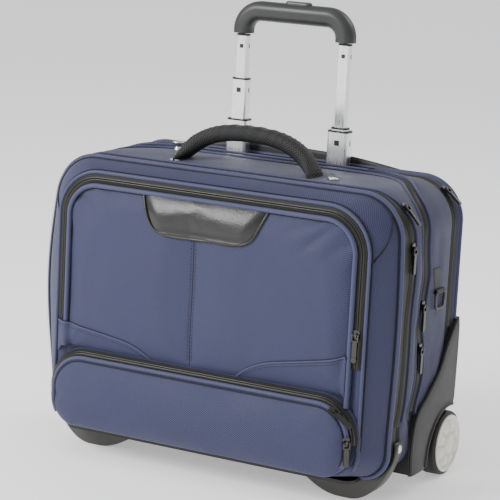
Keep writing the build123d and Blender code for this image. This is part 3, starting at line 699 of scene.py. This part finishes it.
def pillow(name, form, front, wall_y, back, mats, step=4.0):
    """A closed pad: a front face at front(x, z, depth), side walls, and a flat back. The first material is outside."""
    half, low, high, rt, rb = form
    xs = [x - half for x in spread(2 * half, step)]
    vs = [v / (high - low) for v in spread(high - low, step)]
    cols, rows = len(xs), len(vs)
    face, verts = [], []
    for x in xs:
        reach = max(0.0, abs(x) - half + rt)
        top = high - rt + math.sqrt(max(0.0, rt * rt - reach * reach))
        reach = max(0.0, abs(x) - half + rb)
        bottom = low + rb - math.sqrt(max(0.0, rb * rb - reach * reach))
        column = []
        for v in vs:
            z = lerp(bottom, top, v)
            column.append(len(verts))
            verts.append((x, front(x, z, max(0.0, depth_in(x, z, form))), z))
        face.append(column)
    faces = [(face[i][k], face[i + 1][k], face[i + 1][k + 1], face[i][k + 1])
             for i in range(cols - 1) for k in range(rows - 1)]
    picks = [0] * len(faces)
    uvs = [(0.0, 0.0)] * len(verts)
    for i in range(cols):
        run, at_v = 0.0, [0.0]
        for k in range(1, rows):
            run += math.dist(verts[face[i][k - 1]], verts[face[i][k]])
            at_v.append(run)
        for k in range(rows):
            uvs[face[i][k]] = (xs[i] * MM, (at_v[k] - run / 2) * MM)
    rim = [face[i][0] for i in range(cols)] + [face[-1][k] for k in range(1, rows)]
    rim += [face[i][-1] for i in range(cols - 2, -1, -1)] + [face[0][k] for k in range(rows - 2, 0, -1)]
    ring = rim
    for y in wall_y:
        new = []
        for index in rim:
            x, _, z = verts[index]
            new.append(len(verts))
            verts.append((x, y, z))
            uvs.append((uvs[index][0] + (y * MM if abs(x) > half - 1 else 0.0), uvs[index][1] + y * MM))
        for i in range(len(rim)):
            j = (i + 1) % len(rim)
            faces.append((ring[j], ring[i], new[i], new[j]))
            picks.append(0)
        ring = new
    inner = {}
    for i in range(cols):
        for k in range(rows):
            if face[i][k] not in rim:
                inner[face[i][k]] = len(verts)
                verts.append((verts[face[i][k]][0], back, verts[face[i][k]][2]))
                uvs.append(uvs[face[i][k]])
    inner.update({front_index: back_index for front_index, back_index in zip(rim, ring)})
    for i in range(cols - 1):
        for k in range(rows - 1):
            quad = (face[i][k], face[i][k + 1], face[i + 1][k + 1], face[i + 1][k])
            faces.append(tuple(inner[q] for q in quad))
            picks.append(1 if len(mats) > 1 else 0)
    obj = make(name, verts, faces, mats, uvs, picks)
    obj["free"] = cols * rows
    obj["rim"] = [int(i) for i in rim]
    return obj


CLOTH_FRAMES = 20


def puff(obj, cap, hold=None):
    """Inflates the front of a pillow as cloth held at its back, edge and seams. Moves are held near the cap, in mm."""
    free, rim = obj["free"], set(obj["rim"])
    del obj["free"], obj["rim"]
    mesh = obj.data
    start = [v.co.copy() for v in mesh.vertices]
    fixed = [i for i, co in enumerate(start) if i >= free or i in rim or (hold and hold(co.x / MM, co.z / MM))]
    group = obj.vertex_groups.new(name="held")
    group.add(fixed, 1.0, "REPLACE")
    mod = obj.modifiers.new("Cloth", "CLOTH")
    cloth = mod.settings
    cloth.quality, cloth.mass = 6, 0.25
    cloth.tension_stiffness, cloth.compression_stiffness, cloth.shear_stiffness = 12.0, 12.0, 4.0
    cloth.bending_stiffness = 0.4
    cloth.use_pressure, cloth.uniform_pressure_force = True, 4.0
    cloth.vertex_group_mass = "held"
    cloth.effector_weights.gravity = 0.0
    mod.collision_settings.use_collision = False
    scene = bpy.context.scene
    for frame_number in range(1, CLOTH_FRAMES + 1):
        scene.frame_set(frame_number)
    moved = obj.evaluated_get(bpy.context.evaluated_depsgraph_get()).to_mesh()
    ends = [v.co.copy() for v in moved.vertices]
    obj.modifiers.remove(mod)
    obj.vertex_groups.remove(group)
    scene.frame_set(1)
    for index, vert in enumerate(mesh.vertices):
        step = ends[index] - start[index]
        if step.length > cap * MM:
            step = step.normalized() * cap * MM * (1 + 0.12 * math.tanh(step.length / (cap * MM) - 1))
        vert.co = start[index] + step
    mesh.update()
    return obj


def surface(obj, default):
    """Front of a finished piece at a place, found by a ray from in front of it."""
    mesh = obj.data
    tree = BVHTree.FromPolygons([v.co for v in mesh.vertices], [list(f.vertices) for f in mesh.polygons])

    def find(x, z):
        hit = tree.ray_cast(Vector((x * MM, -0.3, z * MM)), Vector((0, 1, 0)))[0]
        return hit.y / MM if hit else default(x, z)

    return find


# ---- Upper pocket: the crowned flap, its piping, seam, wings and leather tab --------------------
PANEL = (181.5, 126.0, 318.5, 38.0, 1.0)
SEAM_X = -15.4  # the flap's middle seam


def panel_front(x, z, depth):
    """Padded face with a dip along the middle seam, and soft folds that gather towards the lower pocket."""
    crown = 2.0 * (1 - min(1.0, abs(x) / 182) ** 3) * (1 - min(1.0, abs(z - 225) / 105) ** 3)
    seam = 1.6 * bell(x, SEAM_X, 4.0) * smooth_step((276 - z) / 14)
    slack = 1.1 * wobble(x, 0, z, 0.010, 0, 0.016, 2.0) + 0.5 * wobble(x, 0, z, 0.035, 0, 0.012, 9.0)
    gather = 0.9 * wobble(x, 0, z, 0.06, 0, 0.008, 4.0) * smooth_step((190 - z) / 60)
    return -102.4 - 4.6 * rounded(depth, 6.0) - (crown - seam + slack + gather) * min(1.0, depth / 10)


panel = pillow("upper_panel", PANEL, panel_front, (-101.6, -100.9), -100.9, [CLOTH, LINING])
puff(panel, 4.0, hold=lambda x, z: abs(x - SEAM_X) < 2.2 and z < 276)
panel_y = surface(panel, lambda x, z: -108.0)


def on_panel(points, lift=0.0):
    return [(x, panel_y(x, z) - lift, z) for x, z in points]


def edge_line(grow, low_left, low_right):
    return [(x, z) for x, z in u_loop(grow) if z > (low_left if x < 0 else low_right)]


def facing(points):
    """A path on the front of the case, whose normals all point forward."""
    return points, [(0, -1, 0)] * len(points)


def flap_line(name, points, radius, mat=NAVY, sides=6):
    return settle(tube(name, *facing(points), radius, mat, sides=sides), "case_fabric")


def flap_stitches(name, points, length, gap, wide):
    return settle(stitches(name, *facing(points), NAVY, length, gap, wide), "case_fabric")


settle(panel, "case_fabric", "pocket_panel")
flap_line("piping_panel", [(x, -107.2, z) for x, z in edge_line(-7.6, 152.0, 113.0)], 2.7, PIPING, 10)
flap_line("piping_panel_seam", on_panel(edge_line(-11.0, 152.0, 117.0), -0.2), 0.9)
for index, x in enumerate((-18.2, -12.6)):
    flap_stitches(f"panel_seam_stitches_{index}", on_panel([(x, z) for z in range(272, 131, -3)], 0.1), 2.4, 1.8, 0.6)
flap_line("panel_seam", on_panel([(SEAM_X, z) for z in range(274, 128, -3)], -0.3), 0.8)


def wing_y(x, z):
    """The wings lie on the flap, and run out over its piping and the zip onto the bevel."""
    if abs(x) < 172:
        return panel_y(x, z)
    out = min(1.0, max(0.0, (abs(x) - 178) / 29))
    near = lerp(panel_y(math.copysign(172, x), z), -110.4, smooth_step((abs(x) - 172) / 6))
    return near + 25.0 * out ** 1.6


def sheet_between(name, top, bottom, rows, mat, height, thick=1.2):
    """A sewn-on patch between an upper and a lower edge line, standing on the panel."""
    verts, uvs = [], []
    count = len(top)
    for r in range(rows + 1):
        for i in range(count):
            t = r / rows
            x, z = lerp(top[i][0], bottom[i][0], t), lerp(top[i][1], bottom[i][1], t)
            near = min(r, i, count - 1 - i, rows - r)
            verts.append((x, height(x, z) - (thick if near else -0.3), z))
            uvs.append((x * MM, z * MM))
    return make(name, verts, grid_faces(rows + 1, count, turned_over=True), mat, uvs)


WINGS = {"left": [(-208, 154.5), (-192, 154.5), (-170, 153.5), (-149, 151), (-122, 147.5), (-95, 143), (-78, 136),
                  (-66, 127)],
         "right": [(178, 171), (160, 165), (120, 157), (84, 149.5), (60, 139), (44, 127)]}
for side, points in WINGS.items():
    top = flat_spline(points, 10)
    low = [106.0 + 20.5 * smooth_step((206 - abs(x)) / 20) if side == "left" else 126.5 for x, z in top]
    bottom = [(lerp(top[0][0], top[-1][0], i / (len(top) - 1)), low[i]) for i in range(len(top))]
    wing = sheet_between(f"wing_{side}", top, bottom, 12, CLOTH, wing_y)
    settle(wing, "case_fabric", *(["front_frame"] if side == "left" else []))
    flap_line(f"wing_edge_{side}", [(x, wing_y(x, z) - 0.9, z) for x, z in top], 1.0, PIPING, 8)
    flap_line(f"wing_shadow_{side}", [(x, wing_y(x, z) - 0.2, z + 1.3) for x, z in top], 0.6)
    line = [(x, z - 4.4) for x, z in top[3:-6]]
    flap_stitches(f"wing_stitches_{side}", [(x, wing_y(x, z) - 1.25, z) for x, z in line], 2.2, 1.7, 0.5)


def leather_tab():
    """Smooth padded leather tab under the top zip, with a rolled edge. Also returns its outline."""
    left = flat_spline([(-83, 315), (-76, 298), (-68, 283), (-57, 275.5), (-40, 273), (-16, 273)], 9)
    right = [(-8.5 - x, z + 1.2) for x, z in left]
    wide = 34
    verts, uvs = [], []
    for i, ((ax, az), (bx, bz)) in enumerate(zip(left, right)):
        for k in range(wide + 1):
            s = k / wide
            x, z = lerp(ax, bx, s), lerp(az, bz, s)
            gap = min(min(s, 1 - s) * (bx - ax), (z - 272.6) if i > 8 else 99)
            dip = 1.5 * bell(gap, 6.0, 2.6)
            pillowy = 2.6 * smooth_step(gap / 16) * smooth_step((322 - z) / 26)
            verts.append((x, panel_y(x, z) - 0.1 - 2.9 * rounded(gap, 3.5) + dip - pillowy, z))
            uvs.append((x * MM, z * MM))
    faces = grid_faces(len(left), wide + 1, turned_over=True)
    return make("leather_tab", verts, faces, LEATHER, uvs), left + right[::-1]


tab, line = leather_tab()
place(tab, "pocket_flap", "black_leather", "leather_patch")
rim = facing([(x, panel_y(x, z) - 1.2, z) for x, z in line])
place(tube("leather_tab_rim", *rim, 1.5, LEATHER, sides=8), "pocket_flap", "black_leather")


# ---- Lower pocket -------------------------------------------------------------------------------
POCKET = (187.0, 36.0, 117.0, 39.0, 28.0)


def pocket_front(x, z, depth):
    """Bulging face, fullest below the middle, with slack at both ends."""
    sag = 1.5 * wobble(x, 0, z, 0.012, 0, 0.02, 1.0) + 0.6 * wobble(x, 0, z, 0.03, 0, 0.05, 6.0)
    pull = 1.1 * wobble(x, 0, z, 0.05, 0, 0.012, 8.0) * smooth_step((abs(x) - 110) / 70)
    return -115.2 - 8.6 * rounded(depth, 32) - (sag + pull) * min(1.0, depth / 14)


pocket = pillow("lower_pocket_skin", POCKET, pocket_front, (-113.0, -108.0, -101.0), -101.0, [CLOTH, LINING])
puff(pocket, 5.0)
place(pocket, "lower_pocket_flap", "case_fabric", "lower_pocket")


def arch_path(grow, y, low, lean=0.45):
    """Round the lower pocket's edge from its right end to its left end, with normals that lean forward."""
    return front_path(loop(192 + grow, 35 - grow, 122 + grow, 43 + grow, 30 + grow, 96, 20, 18), y, low, 1, lean)


path = arch_path(0.2, -111.0, 76.0, 1.1)
zip_half("lower_zip_back", path, 7.0, 1, "front_case", "front_zip_tapes")
zip_half("lower_zip_front", path, 5.6, -1, "lower_pocket_flap")
section = [(-3.4, -1.0), (-3.2, 0.2), (0.0, 0.8), (3.2, 1.0), (4.6, 0.4)]
place(ribbon("lower_zip_wall", *arch_path(4.6, -103.6, 44.0, 0.0), section, CLOTH), "front_case", "case_fabric")
piping("piping_lower", arch_path(-4.6, -115.8, 50.0), 2.5, "lower_pocket_flap")
piping("piping_lower_seam", arch_path(-8.0, -118.4, 52.0), 1.0, "lower_pocket_flap", NAVY, sides=6)


# ---- Middle section -----------------------------------------------------------------------------
def near_zip1(x, z):
    return ZIP1 + wave1(x, z)


def near_zip2(x, z):
    return zip2_line(x) + wave2(x, z)


def not_in_housing(quad):
    """Leaves out the skin that the wheel housings stand in for."""
    return all(abs(p[0]) > 178 and p[1] > -17 and p[2] < housing_top(p[1]) - 5 for p in quad)


HOUSING = [(-17, 24), (-17, 58), (-10, 88), (18, 108), (46, 130), (66, 158), (86, 180), (95, 186)]


def housing_top(y):
    for (ya, za), (yb, zb) in zip(HOUSING, HOUSING[1:]):
        if ya < yb and ya <= y <= yb:
            return lerp(za, zb, (y - ya) / (yb - ya))
    return 24.0 if y < -17 else 186.0


def middle_section():
    front = lambda x, z: near_zip1(x, z) + 7.5
    back = lambda x, z: near_zip2(x, z) - 9.0
    rows = [ring_row(4.0, lambda x, z: near_zip1(x, z) + 0.5), ring_row(1.0, lambda x, z: near_zip1(x, z) + 0.5),
            ring_row(1.2, lambda x, z: near_zip1(x, z) + 6.5)]
    rows += strip_rows(front, back, 14, 0.9, 0.8)
    rows += [ring_row(1.2, lambda x, z: back(x, z) + 1.0), ring_row(1.0, lambda x, z: near_zip2(x, z) - 0.5),
             ring_row(4.0, lambda x, z: near_zip2(x, z) - 0.5, bulge=False), ring_row(4.0, at(-40.0), bulge=False)]
    mats = [2, 1] + [1] + [0] * 14 + [1, 1, 2, 2]
    skip = lambda quad: not_in_housing(quad) or (min(p[1] for p in quad) > -36 and max(p[2] for p in quad) < 35)
    # The strip between the zips takes the darker copy of the cloth, which is painted shade on the sides and top.
    return rows_mesh("middle_section", rows, [CLOTH_SHADED, NAVY, LINING], mats, caps=(2, 2), skip=skip)


place(middle_section(), "middle_case", "case_fabric", "middle_shell")
path = outline_path(0.6, near_zip1, low=86)
zip_half("organiser_zip_front", path, 8.0, -1, "front_case")
zip_half("organiser_zip_rear", path, 8.5, 1, "middle_case", "middle_zip_tapes")
path = outline_path(0.6, near_zip2, low=95)
zip_half("main_zip_front", path, 10.5, -1, "middle_case")
zip_half("main_zip_rear", path, 10.5, 1, "rear_case", "rear_zip_tapes")
for name, y_of, body, shift in (("middle_front", near_zip1, "middle_case", 9.6),
                                ("middle_rear", near_zip2, "middle_case", -11.6),
                                ("rear_front", near_zip2, "rear_case", 11.6)):
    piping(f"piping_{name}", outline_path(-0.9, lambda x, z: y_of(x, z) + shift, low=88), 1.5, body, sides=8)
    away = shift + math.copysign(3.6, shift)
    stitching(f"stitches_{name}", outline_path(-1.3, lambda x, z: y_of(x, z) + away, low=96), body, THREAD,
              2.4, 1.8, 0.55)


# ---- Rear section -------------------------------------------------------------------------------
def rear_section():
    front = lambda x, z: near_zip2(x, z) + 9.0
    back = at(ZIP3 - 8.0)
    rows = [ring_row(4.0, at(61.0), bulge=False), ring_row(4.0, lambda x, z: near_zip2(x, z) + 0.5, bulge=False),
            ring_row(1.0, lambda x, z: near_zip2(x, z) + 0.5), ring_row(1.2, lambda x, z: front(x, z) - 1.0)]
    rows += strip_rows(lambda x, z: min(front(x, z), ZIP3 - 9.0), back, 16, 1.2, 1.2)
    rows += [ring_row(1.2, at(ZIP3 - 7.0)), ring_row(1.0, at(ZIP3 + 7.0)), ring_row(0.2, at(ZIP3 + 8.0)),
             ring_row(-0.8, at(86.0)), ring_row(0.4, at(90.5)), ring_row(3.0, at(92.0))]
    mats = [2, 2, 1, 1] + [0] * 17 + [1] + [0] * (len(rows) - 23)

    def skip(quad):
        well = all(abs(p[0]) < 111 and 64 < p[1] < 90 and p[2] > 330 for p in quad)
        return well or not_in_housing(quad)

    # The strip behind the main zip takes the darker copy of the cloth, which is painted shade on the sides and top.
    return rows_mesh("rear_section", rows, [CLOTH_SHADED, NAVY, LINING], mats, caps=(2, 0), skip=skip)


place(rear_section(), "rear_case", "case_fabric", "rear_shell")


for side, name in SIDES:
    whole = zip(*outline_path(0.6, at(ZIP3)))
    path = list(zip(*((p, n) for p, n in whole if p[0] * side > 100 and p[2] > 176)))
    zip_half(f"rear_zip_front_{name}", path, 8.5, -1, "rear_case")
    zip_half(f"rear_zip_back_{name}", path, 8.5, 1, "rear_case")
piping("piping_back", outline_path(-0.6, at(89.5), low=184), 2.4, "rear_case")


def pad_front(x, z, depth):
    """Airy back pad with two channels across it."""
    channel = 2.4 * max(bell(z, 165, 4), bell(z, 245, 4)) * min(1.0, depth / 6)
    return -93.5 - 4.2 * rounded(depth, 7.0) + channel - 0.5 * wobble(x, 0, z, 0.02, 0, 0.02, 3.3)


pad = pillow("back_pad_mesh", (150.0, 84.0, 326.0, 24.0, 24.0), pad_front, (-93.0, -92.2), -92.2, [MESH])
puff(pad, 3.0, hold=lambda x, z: abs(z - 165) < 2.5 or abs(z - 245) < 2.5)
pad.data.transform(Matrix.Rotation(math.pi, 4, "Z"))  # pillows are made facing the front
pad.data.update()
place(pad, "rear_case", "mesh_pad", "back_pad")


def divider_front(x, z, depth):
    """Quilted in upright channels."""
    quilt = 1.6 * max(bell((x + 300) % 86, 43, 3.5), 0) * min(1.0, depth / 8)
    return -46.0 - 6.0 * rounded(depth, 7.0) + quilt


divider = pillow("divider_pad_mesh", (172.0, 68.0, 276.0, 18.0, 18.0), divider_front, (-45.6, -44.6), -44.6, [LINING])
puff(divider, 1.2)
place(divider, "middle_case", "lining", "divider_pad")


def side_tab(side, name):
    """Stitched leather patch that holds the strap ring on a side of the case."""
    verts, uvs = [], []
    n, m = 14, 12
    for i in range(n + 1):
        for k in range(m + 1):
            s, t = i / n, k / m
            half = lerp(20.5, 11.0, smooth_step(s))
            y, z = 34 + (2 * t - 1) * half, lerp(256.0, 221.5, s)
            gap = min(min(s, 1 - s) * 34, min(t, 1 - t) * 2 * half)
            verts.append((side * (216.6 + 2.4 * rounded(gap, 3.0) - 0.5 * bell(gap, 3.6, 0.9)), y, z))
            uvs.append((y * MM, z * MM))
    faces = grid_faces(n + 1, m + 1)
    return make(f"side_tab_{name}", verts, faces if side > 0 else [f[::-1] for f in faces], STRAP, uvs)


for side, name in SIDES:
    place(side_tab(side, name), "rear_case", "black_leather", *(["side_tabs"] if side > 0 else []))
    sleeve = [(side * 220.4, 34 - 11 + 22 * i / 8, 226.0) for i in range(9)]
    place(tube(f"ring_sleeve_{name}", sleeve, [(side, 0, 0)] * 9, 2.6, STRAP), "rear_case", "black_leather")


def trolley_cover():
    """Soft black lip behind the tow handle's well."""
    half, steps = 150.0, 60
    verts, uvs = [], []
    lip = ((93.4, 12.0), (93.8, 3.0), (93.0, 0.4), (91.0, 0.0), (89.4, 0.6), (89.0, 4.0), (89.0, 14.0))
    for k, (y, drop) in enumerate(lip):
        for i in range(steps + 1):
            x = lerp(-half, half, i / steps)
            rise = 13.0 * max(0.0, math.cos(math.pi * x / (2 * half))) ** 0.8 + 0.6 * wobble(x, 0, 0, 0.02, 0, 0, 1)
            verts.append((x, y, TOP + rise - drop + 0.5))
            uvs.append((x * MM, k * 4 * MM))
    return make("trolley_cover", verts, grid_faces(len(lip), steps + 1), STRAP, uvs)


place(trolley_cover(), "rear_case", "black_leather", "trolley_flap")


# ---- Carry handle -------------------------------------------------------------------------------
def carry_handle():
    """Padded arch with a leather top and ribbed mesh below, flattened and flared where it is sewn to the case."""
    half_line = [(-87, -23, 342.5), (-82, -21.5, 351), (-65, -18.5, 367.5), (-38, -17, 379.0)]
    pts = spline(half_line + [(0, -17, 382.6)] + [(-x, y, z) for x, y, z in reversed(half_line)], 14)
    n, sides, run = len(pts) - 1, 24, 0.0
    verts, uvs = [], []
    for i, centre in enumerate(pts):
        s = min(i, n - i) / n
        grow = smooth_step(s / 0.24)
        if i:
            run += (centre - pts[i - 1]).length
        tangent = (pts[min(i + 1, n)] - pts[max(i - 1, 0)]).normalized()
        wide = (Vector((0, 1, 0)) - tangent * tangent.y).normalized()
        up = tangent.cross(wide) * -1
        depth, thick = lerp(20.5, 10.4, grow), lerp(2.4, 9.4, grow)
        for k in range(sides):
            b = 2 * math.pi * k / sides
            c, d = math.cos(b), math.sin(b)
            rib = 0.45 * math.sin(run * 2 * math.pi / 3.4 + 2 * c) * grow * smooth_step((0.35 - d) / 0.2)
            seam = -0.5 * bell(d, 0.42, 0.1) * grow
            fx, fs = abs(c) ** 0.85 * math.copysign(1, c), abs(d) ** 0.85 * math.copysign(1, d)
            verts.append(centre + wide * (depth + rib + seam) * fx + up * (thick + rib + seam) * fs)
            uvs.append((run * MM, b * 9 * MM))
    faces = belt_faces(n + 1, sides)
    picks = [1 if math.sin(2 * math.pi * (k + 0.5) / sides) > 0.42 else 0 for k in range(sides)] * n
    faces += [tuple(range(sides)), tuple(n * sides + k for k in reversed(range(sides)))]
    picks += [1, 1]
    return make("handle_grip", verts, faces, [MESH, STRAP], uvs, picks)


handle = carry_handle()
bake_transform(handle)
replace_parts(handle, "carry_handle", "handle_mounts")


def button_head(name, x, y, z, rx, ry, body, normal=(0, 0, 1)):
    """Domed oval rivet head with a rolled rim."""
    up = Vector(normal).normalized()
    a = up.orthogonal().normalized() if abs(up.x) > 0.5 else Vector((1, 0, 0))
    b = up.cross(a)
    rings = ((1.0, 0.0), (1.0, 0.8), (0.93, 1.3), (0.8, 1.1), (0.72, 1.2), (0.5, 1.7), (0.25, 1.95))
    sides = 24
    verts = []
    for scale, height in rings:
        for k in range(sides):
            t = 2 * math.pi * k / sides
            verts.append(Vector((x, y, z)) + a * rx * scale * math.cos(t) + b * ry * scale * math.sin(t) + up * height)
    faces = belt_faces(len(rings), sides) + [tuple((len(rings) - 1) * sides + k for k in range(sides))]
    return place(make(name, verts, faces, STEEL), body, "steel")


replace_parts(button_head("handle_rivet_right", 109, -25, 345.6, 6.2, 4.6, "middle_case"), "handle_rivets")
button_head("handle_rivet_left", -86, -37, 345.2, 6.2, 4.6, "middle_case")
STUD = [(4.6, 0.0), (4.6, 2.0), (3.4, 2.8), (3.4, 6.6), (6.4, 7.4), (6.8, 9.4), (6.2, 10.4), (3.0, 10.9), (0.2, 11.0)]
verts = [(-124 + r * math.cos(math.pi * i / 12), 36 + r * math.sin(math.pi * i / 12), 344.6 + h)
         for i in range(24) for r, h in STUD]
faces = [(i * 9 + k, (i + 1) % 24 * 9 + k, (i + 1) % 24 * 9 + k + 1, i * 9 + k + 1)
         for i in range(24) for k in range(8)]
place(make("top_stud", verts, faces, STEEL), "middle_case", "steel")


# ---- Wheel covers, wheels and metalwork -----------------------------------------------------------
def housing_cover(side, name):
    """Rounded outer shield of a wheel housing, with a bead along each edge."""
    arch_y, arch_z, arch_r = 82.0, 27.0, 58.0
    edge = flat_spline([(96, 186), (86, 181), (66, 159), (46, 131), (18, 109), (-10, 89), (-18, 58), (-16, 23)], 8)
    inner = [(24.1, 23.0)]
    start, end = math.degrees(math.asin((23 - arch_z) / arch_r)), 76.0
    for i in range(25):
        t = math.radians(lerp(180 - start, end, i / 24))
        inner.append((arch_y + arch_r * math.cos(t), arch_z + arch_r * math.sin(t)))
    inner.append((96.0, inner[-1][1]))
    arch = spaced(inner, len(edge))[::-1]
    bands = ((0.0, 218.0), (0.0, 220.8), (0.035, 222.0), (0.1, 222.6), (0.3, 222.9), (0.5, 222.8), (0.75, 222.5),
             (0.93, 222.1), (1.0, 220.8), (1.0, 214.0))
    verts = [(side * x, lerp(a[0], b[0], s), lerp(a[1], b[1], s)) for s, x in bands for a, b in zip(edge, arch)]
    for label, line in (("outer", edge[6:-1]), ("arch", arch[2:-1])):
        path = [(side * 221.9, y, z) for y, z in line]
        place(tube(f"housing_{label}_bead_{name}", path, [(side, 0, 0)] * len(path), 1.9, GREY), "rear_case",
              "dark_plastic")
    faces = grid_faces(len(bands), len(edge))
    return make(f"housing_cover_{name}", verts, faces if side > 0 else [f[::-1] for f in faces], GREY)


AXLE_Y, AXLE_Z = 88.0, 37.5


def spin(name, profile, body, slot, mat, side, steps, petals=None):
    """Turns a (radius, x) profile about a wheel's axle."""
    verts, faces, uvs = [], [], []
    size = len(profile)
    for i in range(steps):
        t = 2 * math.pi * i / steps
        for k, (r, x) in enumerate(profile):
            x += petals(i, k) if petals else 0.0
            verts.append((side * x, AXLE_Y + r * math.cos(t), AXLE_Z + r * math.sin(t)))
            uvs.append((t * 0.03, r * MM))
    for i in range(steps):
        j = (i + 1) % steps
        for k in range(size - 1):
            faces.append((i * size + k, j * size + k, j * size + k + 1, i * size + k + 1))
    return place(make(name, verts, faces, mat, uvs), body, slot)


OUT = 7.0  # the wheels stand this much further out than their plain CAD discs
TYRE_PROFILE = [(31.0, 192), (34.5, 191), (36.6, 192), (37.4, 194.5), (37.5, 199), (36.7, 199.6), (36.7, 200.8),
                (37.5, 201.4), (37.5, 206), (36.7, 206.6), (36.7, 207.8), (37.5, 208.4), (37.3, 211), (36.4, 213),
                (34.6, 213.8), (32.6, 213.4), (30.0, 212.0)]
CAP_PROFILE = [(32.6, 212.6), (33.4, 214.0), (33.0, 215.3), (31.8, 215.9), (30.2, 215.2), (29.0, 212.4), (27.2, 212.8),
               (24.0, 216.0), (20.0, 216.8), (16.0, 217.0), (14.2, 215.0), (12.6, 214.6), (11.4, 217.3), (7.0, 218.0),
               (3.0, 218.3), (0.2, 218.4)]


def petal(i, k):
    """Dents the wheel cover between its eight petals."""
    return -4.2 * bell(i % 12, 0 if i % 12 < 6 else 12, 1.5) if 5 < k < 11 else 0.0


for side, name in SIDES:
    wheel = f"wheel_{name}"
    place(housing_cover(side, name), "rear_case", "dark_plastic")
    tyre = spin(f"tyre_{name}", [(r, x + OUT) for r, x in TYRE_PROFILE], wheel, "tyre_rubber", TYRE, side, 96)
    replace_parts(tyre, f"wheel_tyre_{name}", f"wheel_hub_{name}")
    hub = [(5.0, 190.0), (30.5, 191.5 + OUT), (31.4, 193.0 + OUT)]
    spin(f"hub_inner_{name}", hub, wheel, "dark_plastic", GREY, side, 48)
    spin(f"hubcap_{name}", [(r, x + OUT) for r, x in CAP_PROFILE], wheel, "hubcap", CAP, side, 96, petal)


def front_foot(side, name):
    """Crescent skid that wraps the lower front corner and rises to its rivet."""
    outer = flat_spline([(100, 29), (112, 18), (128, 8), (141, 2.6), (152, 0.3), (162, 0.0), (173, 0.3), (185, 4),
                         (197, 12.5), (207, 24), (214.5, 38), (219.5, 52), (221.6, 63), (220.6, 69), (218.0, 70.5)], 5)
    outer = [(x, max(0.0, z)) for x, z in outer]
    corner = [(100.0, 29.8), (186.5, 29.8)]
    corner += [(186.5 + 30.8 * math.cos(math.radians(a)), 60.6 + 30.8 * math.sin(math.radians(a)))
               for a in range(-84, 1, 6)]
    inner = spaced(corner + [(217.4, 70.2)], len(outer))
    verts, uvs, sides = [], [], 10
    for (ox, oz), (ix, iz) in zip(outer, inner):
        front = lerp(-64.0, -57.0, smooth_step((oz - 20) / 40))
        edge = min(0.45, 1.8 / (math.hypot(ox - ix, oz - iz) or 1.0))
        for s, y in ((0.0, front + 0.8), (0.12, front), (0.5, front - 0.4), (1 - edge, front),
                     (1 - edge * 0.3, front + 0.6), (1.0, front + 2.0), (1.0, -45.0), (1 - edge * 0.3, -43.6),
                     (1 - edge, -43.0), (0.0, -43.0)):
            verts.append((side * lerp(ix, ox, s), y, lerp(iz, oz, s)))
            uvs.append((verts[-1][0] * MM, verts[-1][2] * MM))
    faces = [quad[::-1] if side > 0 else quad for quad in belt_faces(len(outer), sides)]
    faces += [tuple(end * sides + k for k in range(sides)) for end in (0, len(outer) - 1)]
    return make(f"front_foot_{name}", verts, faces, FOOT, uvs)


for side, name in SIDES:
    place(front_foot(side, name), "rear_case", "black_plastic", *(["front_feet"] if side > 0 else []))
    button_head(f"foot_rivet_{name}", side * 220.9, -50, 64.0, 3.4, 4.6, "rear_case", (side, 0, 0))


# ---- Materials of the CAD parts that stay ---------------------------------------------------------
KEEP = {"base_board": BLACK, "stiffener_boards": LINING, "trolley_bezel": BLACK, "wheel_housings": GREY, "axles": STEEL,
        "kick_plate": GREY, "base_fasteners": STEEL, "strap_ring_left": GUNMETAL,
        "strap_ring_right": GUNMETAL, "base_tubes": STEEL, "stage_a_tubes": TUBE, "stage_a_bushings": BLACK,
        "stage_b_tube_left": TUBE, "stage_b_tube_right": TUBE, "stage_b_bushings_left": BLACK,
        "stage_b_bushings_right": BLACK, "stage_c_tubes": TUBE, "stage_c_bushings": BLACK, "grip_halves": GRIP,
        "release_rods": STEEL, "grip_button": BUTTON}
for node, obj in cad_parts.items():
    mat = KEEP.get(node) or (GUNMETAL if node.startswith(("slider_", "pull_")) else None)
    if mat:
        for index in range(max(1, len(obj.material_slots))):
            if not obj.material_slots:
                obj.data.materials.append(mat)
            obj.material_slots[index].material = mat


# ---- Stage, light and camera ----------------------------------------------------------------------
def studio():
    floor_mat = Nodes("floor")
    floor = make("floor", [(-9000, -9000, 0), (9000, -9000, 0), (9000, 9000, 0), (-9000, 9000, 0)], [(0, 1, 2, 3)],
                 floor_mat.finish((0.93, 0.93, 0.93), 0.8, Emission_Color=(1.0, 1.0, 1.0, 1.0), Emission_Strength=0.45))
    world = bpy.data.worlds.new("studio")
    bpy.context.scene.world = world
    world.use_nodes = True
    world.node_tree.nodes["Background"].inputs["Color"].default_value = (1.0, 1.0, 1.0, 1.0)
    world.node_tree.nodes["Background"].inputs["Strength"].default_value = 0.72
    for name, spot, size, power in (("key", (-1.5, -2.1, 1.7), 1.3, 100), ("rim", (1.0, 1.7, 1.9), 1.2, 18),
                                    ("top", (-0.3, -0.5, 2.6), 1.5, 8)):
        data = bpy.data.lights.new(name, "AREA")
        data.energy, data.size = power, size
        lamp = bpy.data.objects.new(name, data)
        bpy.context.scene.collection.objects.link(lamp)
        lamp.location = spot
        lamp.rotation_euler = (Vector((0, 0, 0.2)) - Vector(spot)).to_track_quat("-Z", "Y").to_euler()


def camera():
    data = bpy.data.cameras.new("camera")
    data.sensor_width, data.lens = 36.0, 149.86
    data.clip_start, data.clip_end = 0.05, 50.0
    cam = bpy.data.objects.new("camera", data)
    bpy.context.scene.collection.objects.link(cam)
    right, up = Vector((0.87895, 0.47414, 0.05138)), Vector((-0.13665, 0.14717, 0.97963))
    up = (up - right * up.dot(right)).normalized()
    right.normalize()
    turn = Matrix((right, up, right.cross(up))).transposed().to_4x4()
    cam.matrix_world = Matrix.Translation(Vector((1.08685, -2.06954, 0.70949))) @ turn
    bpy.context.scene.camera = cam


studio()
camera()
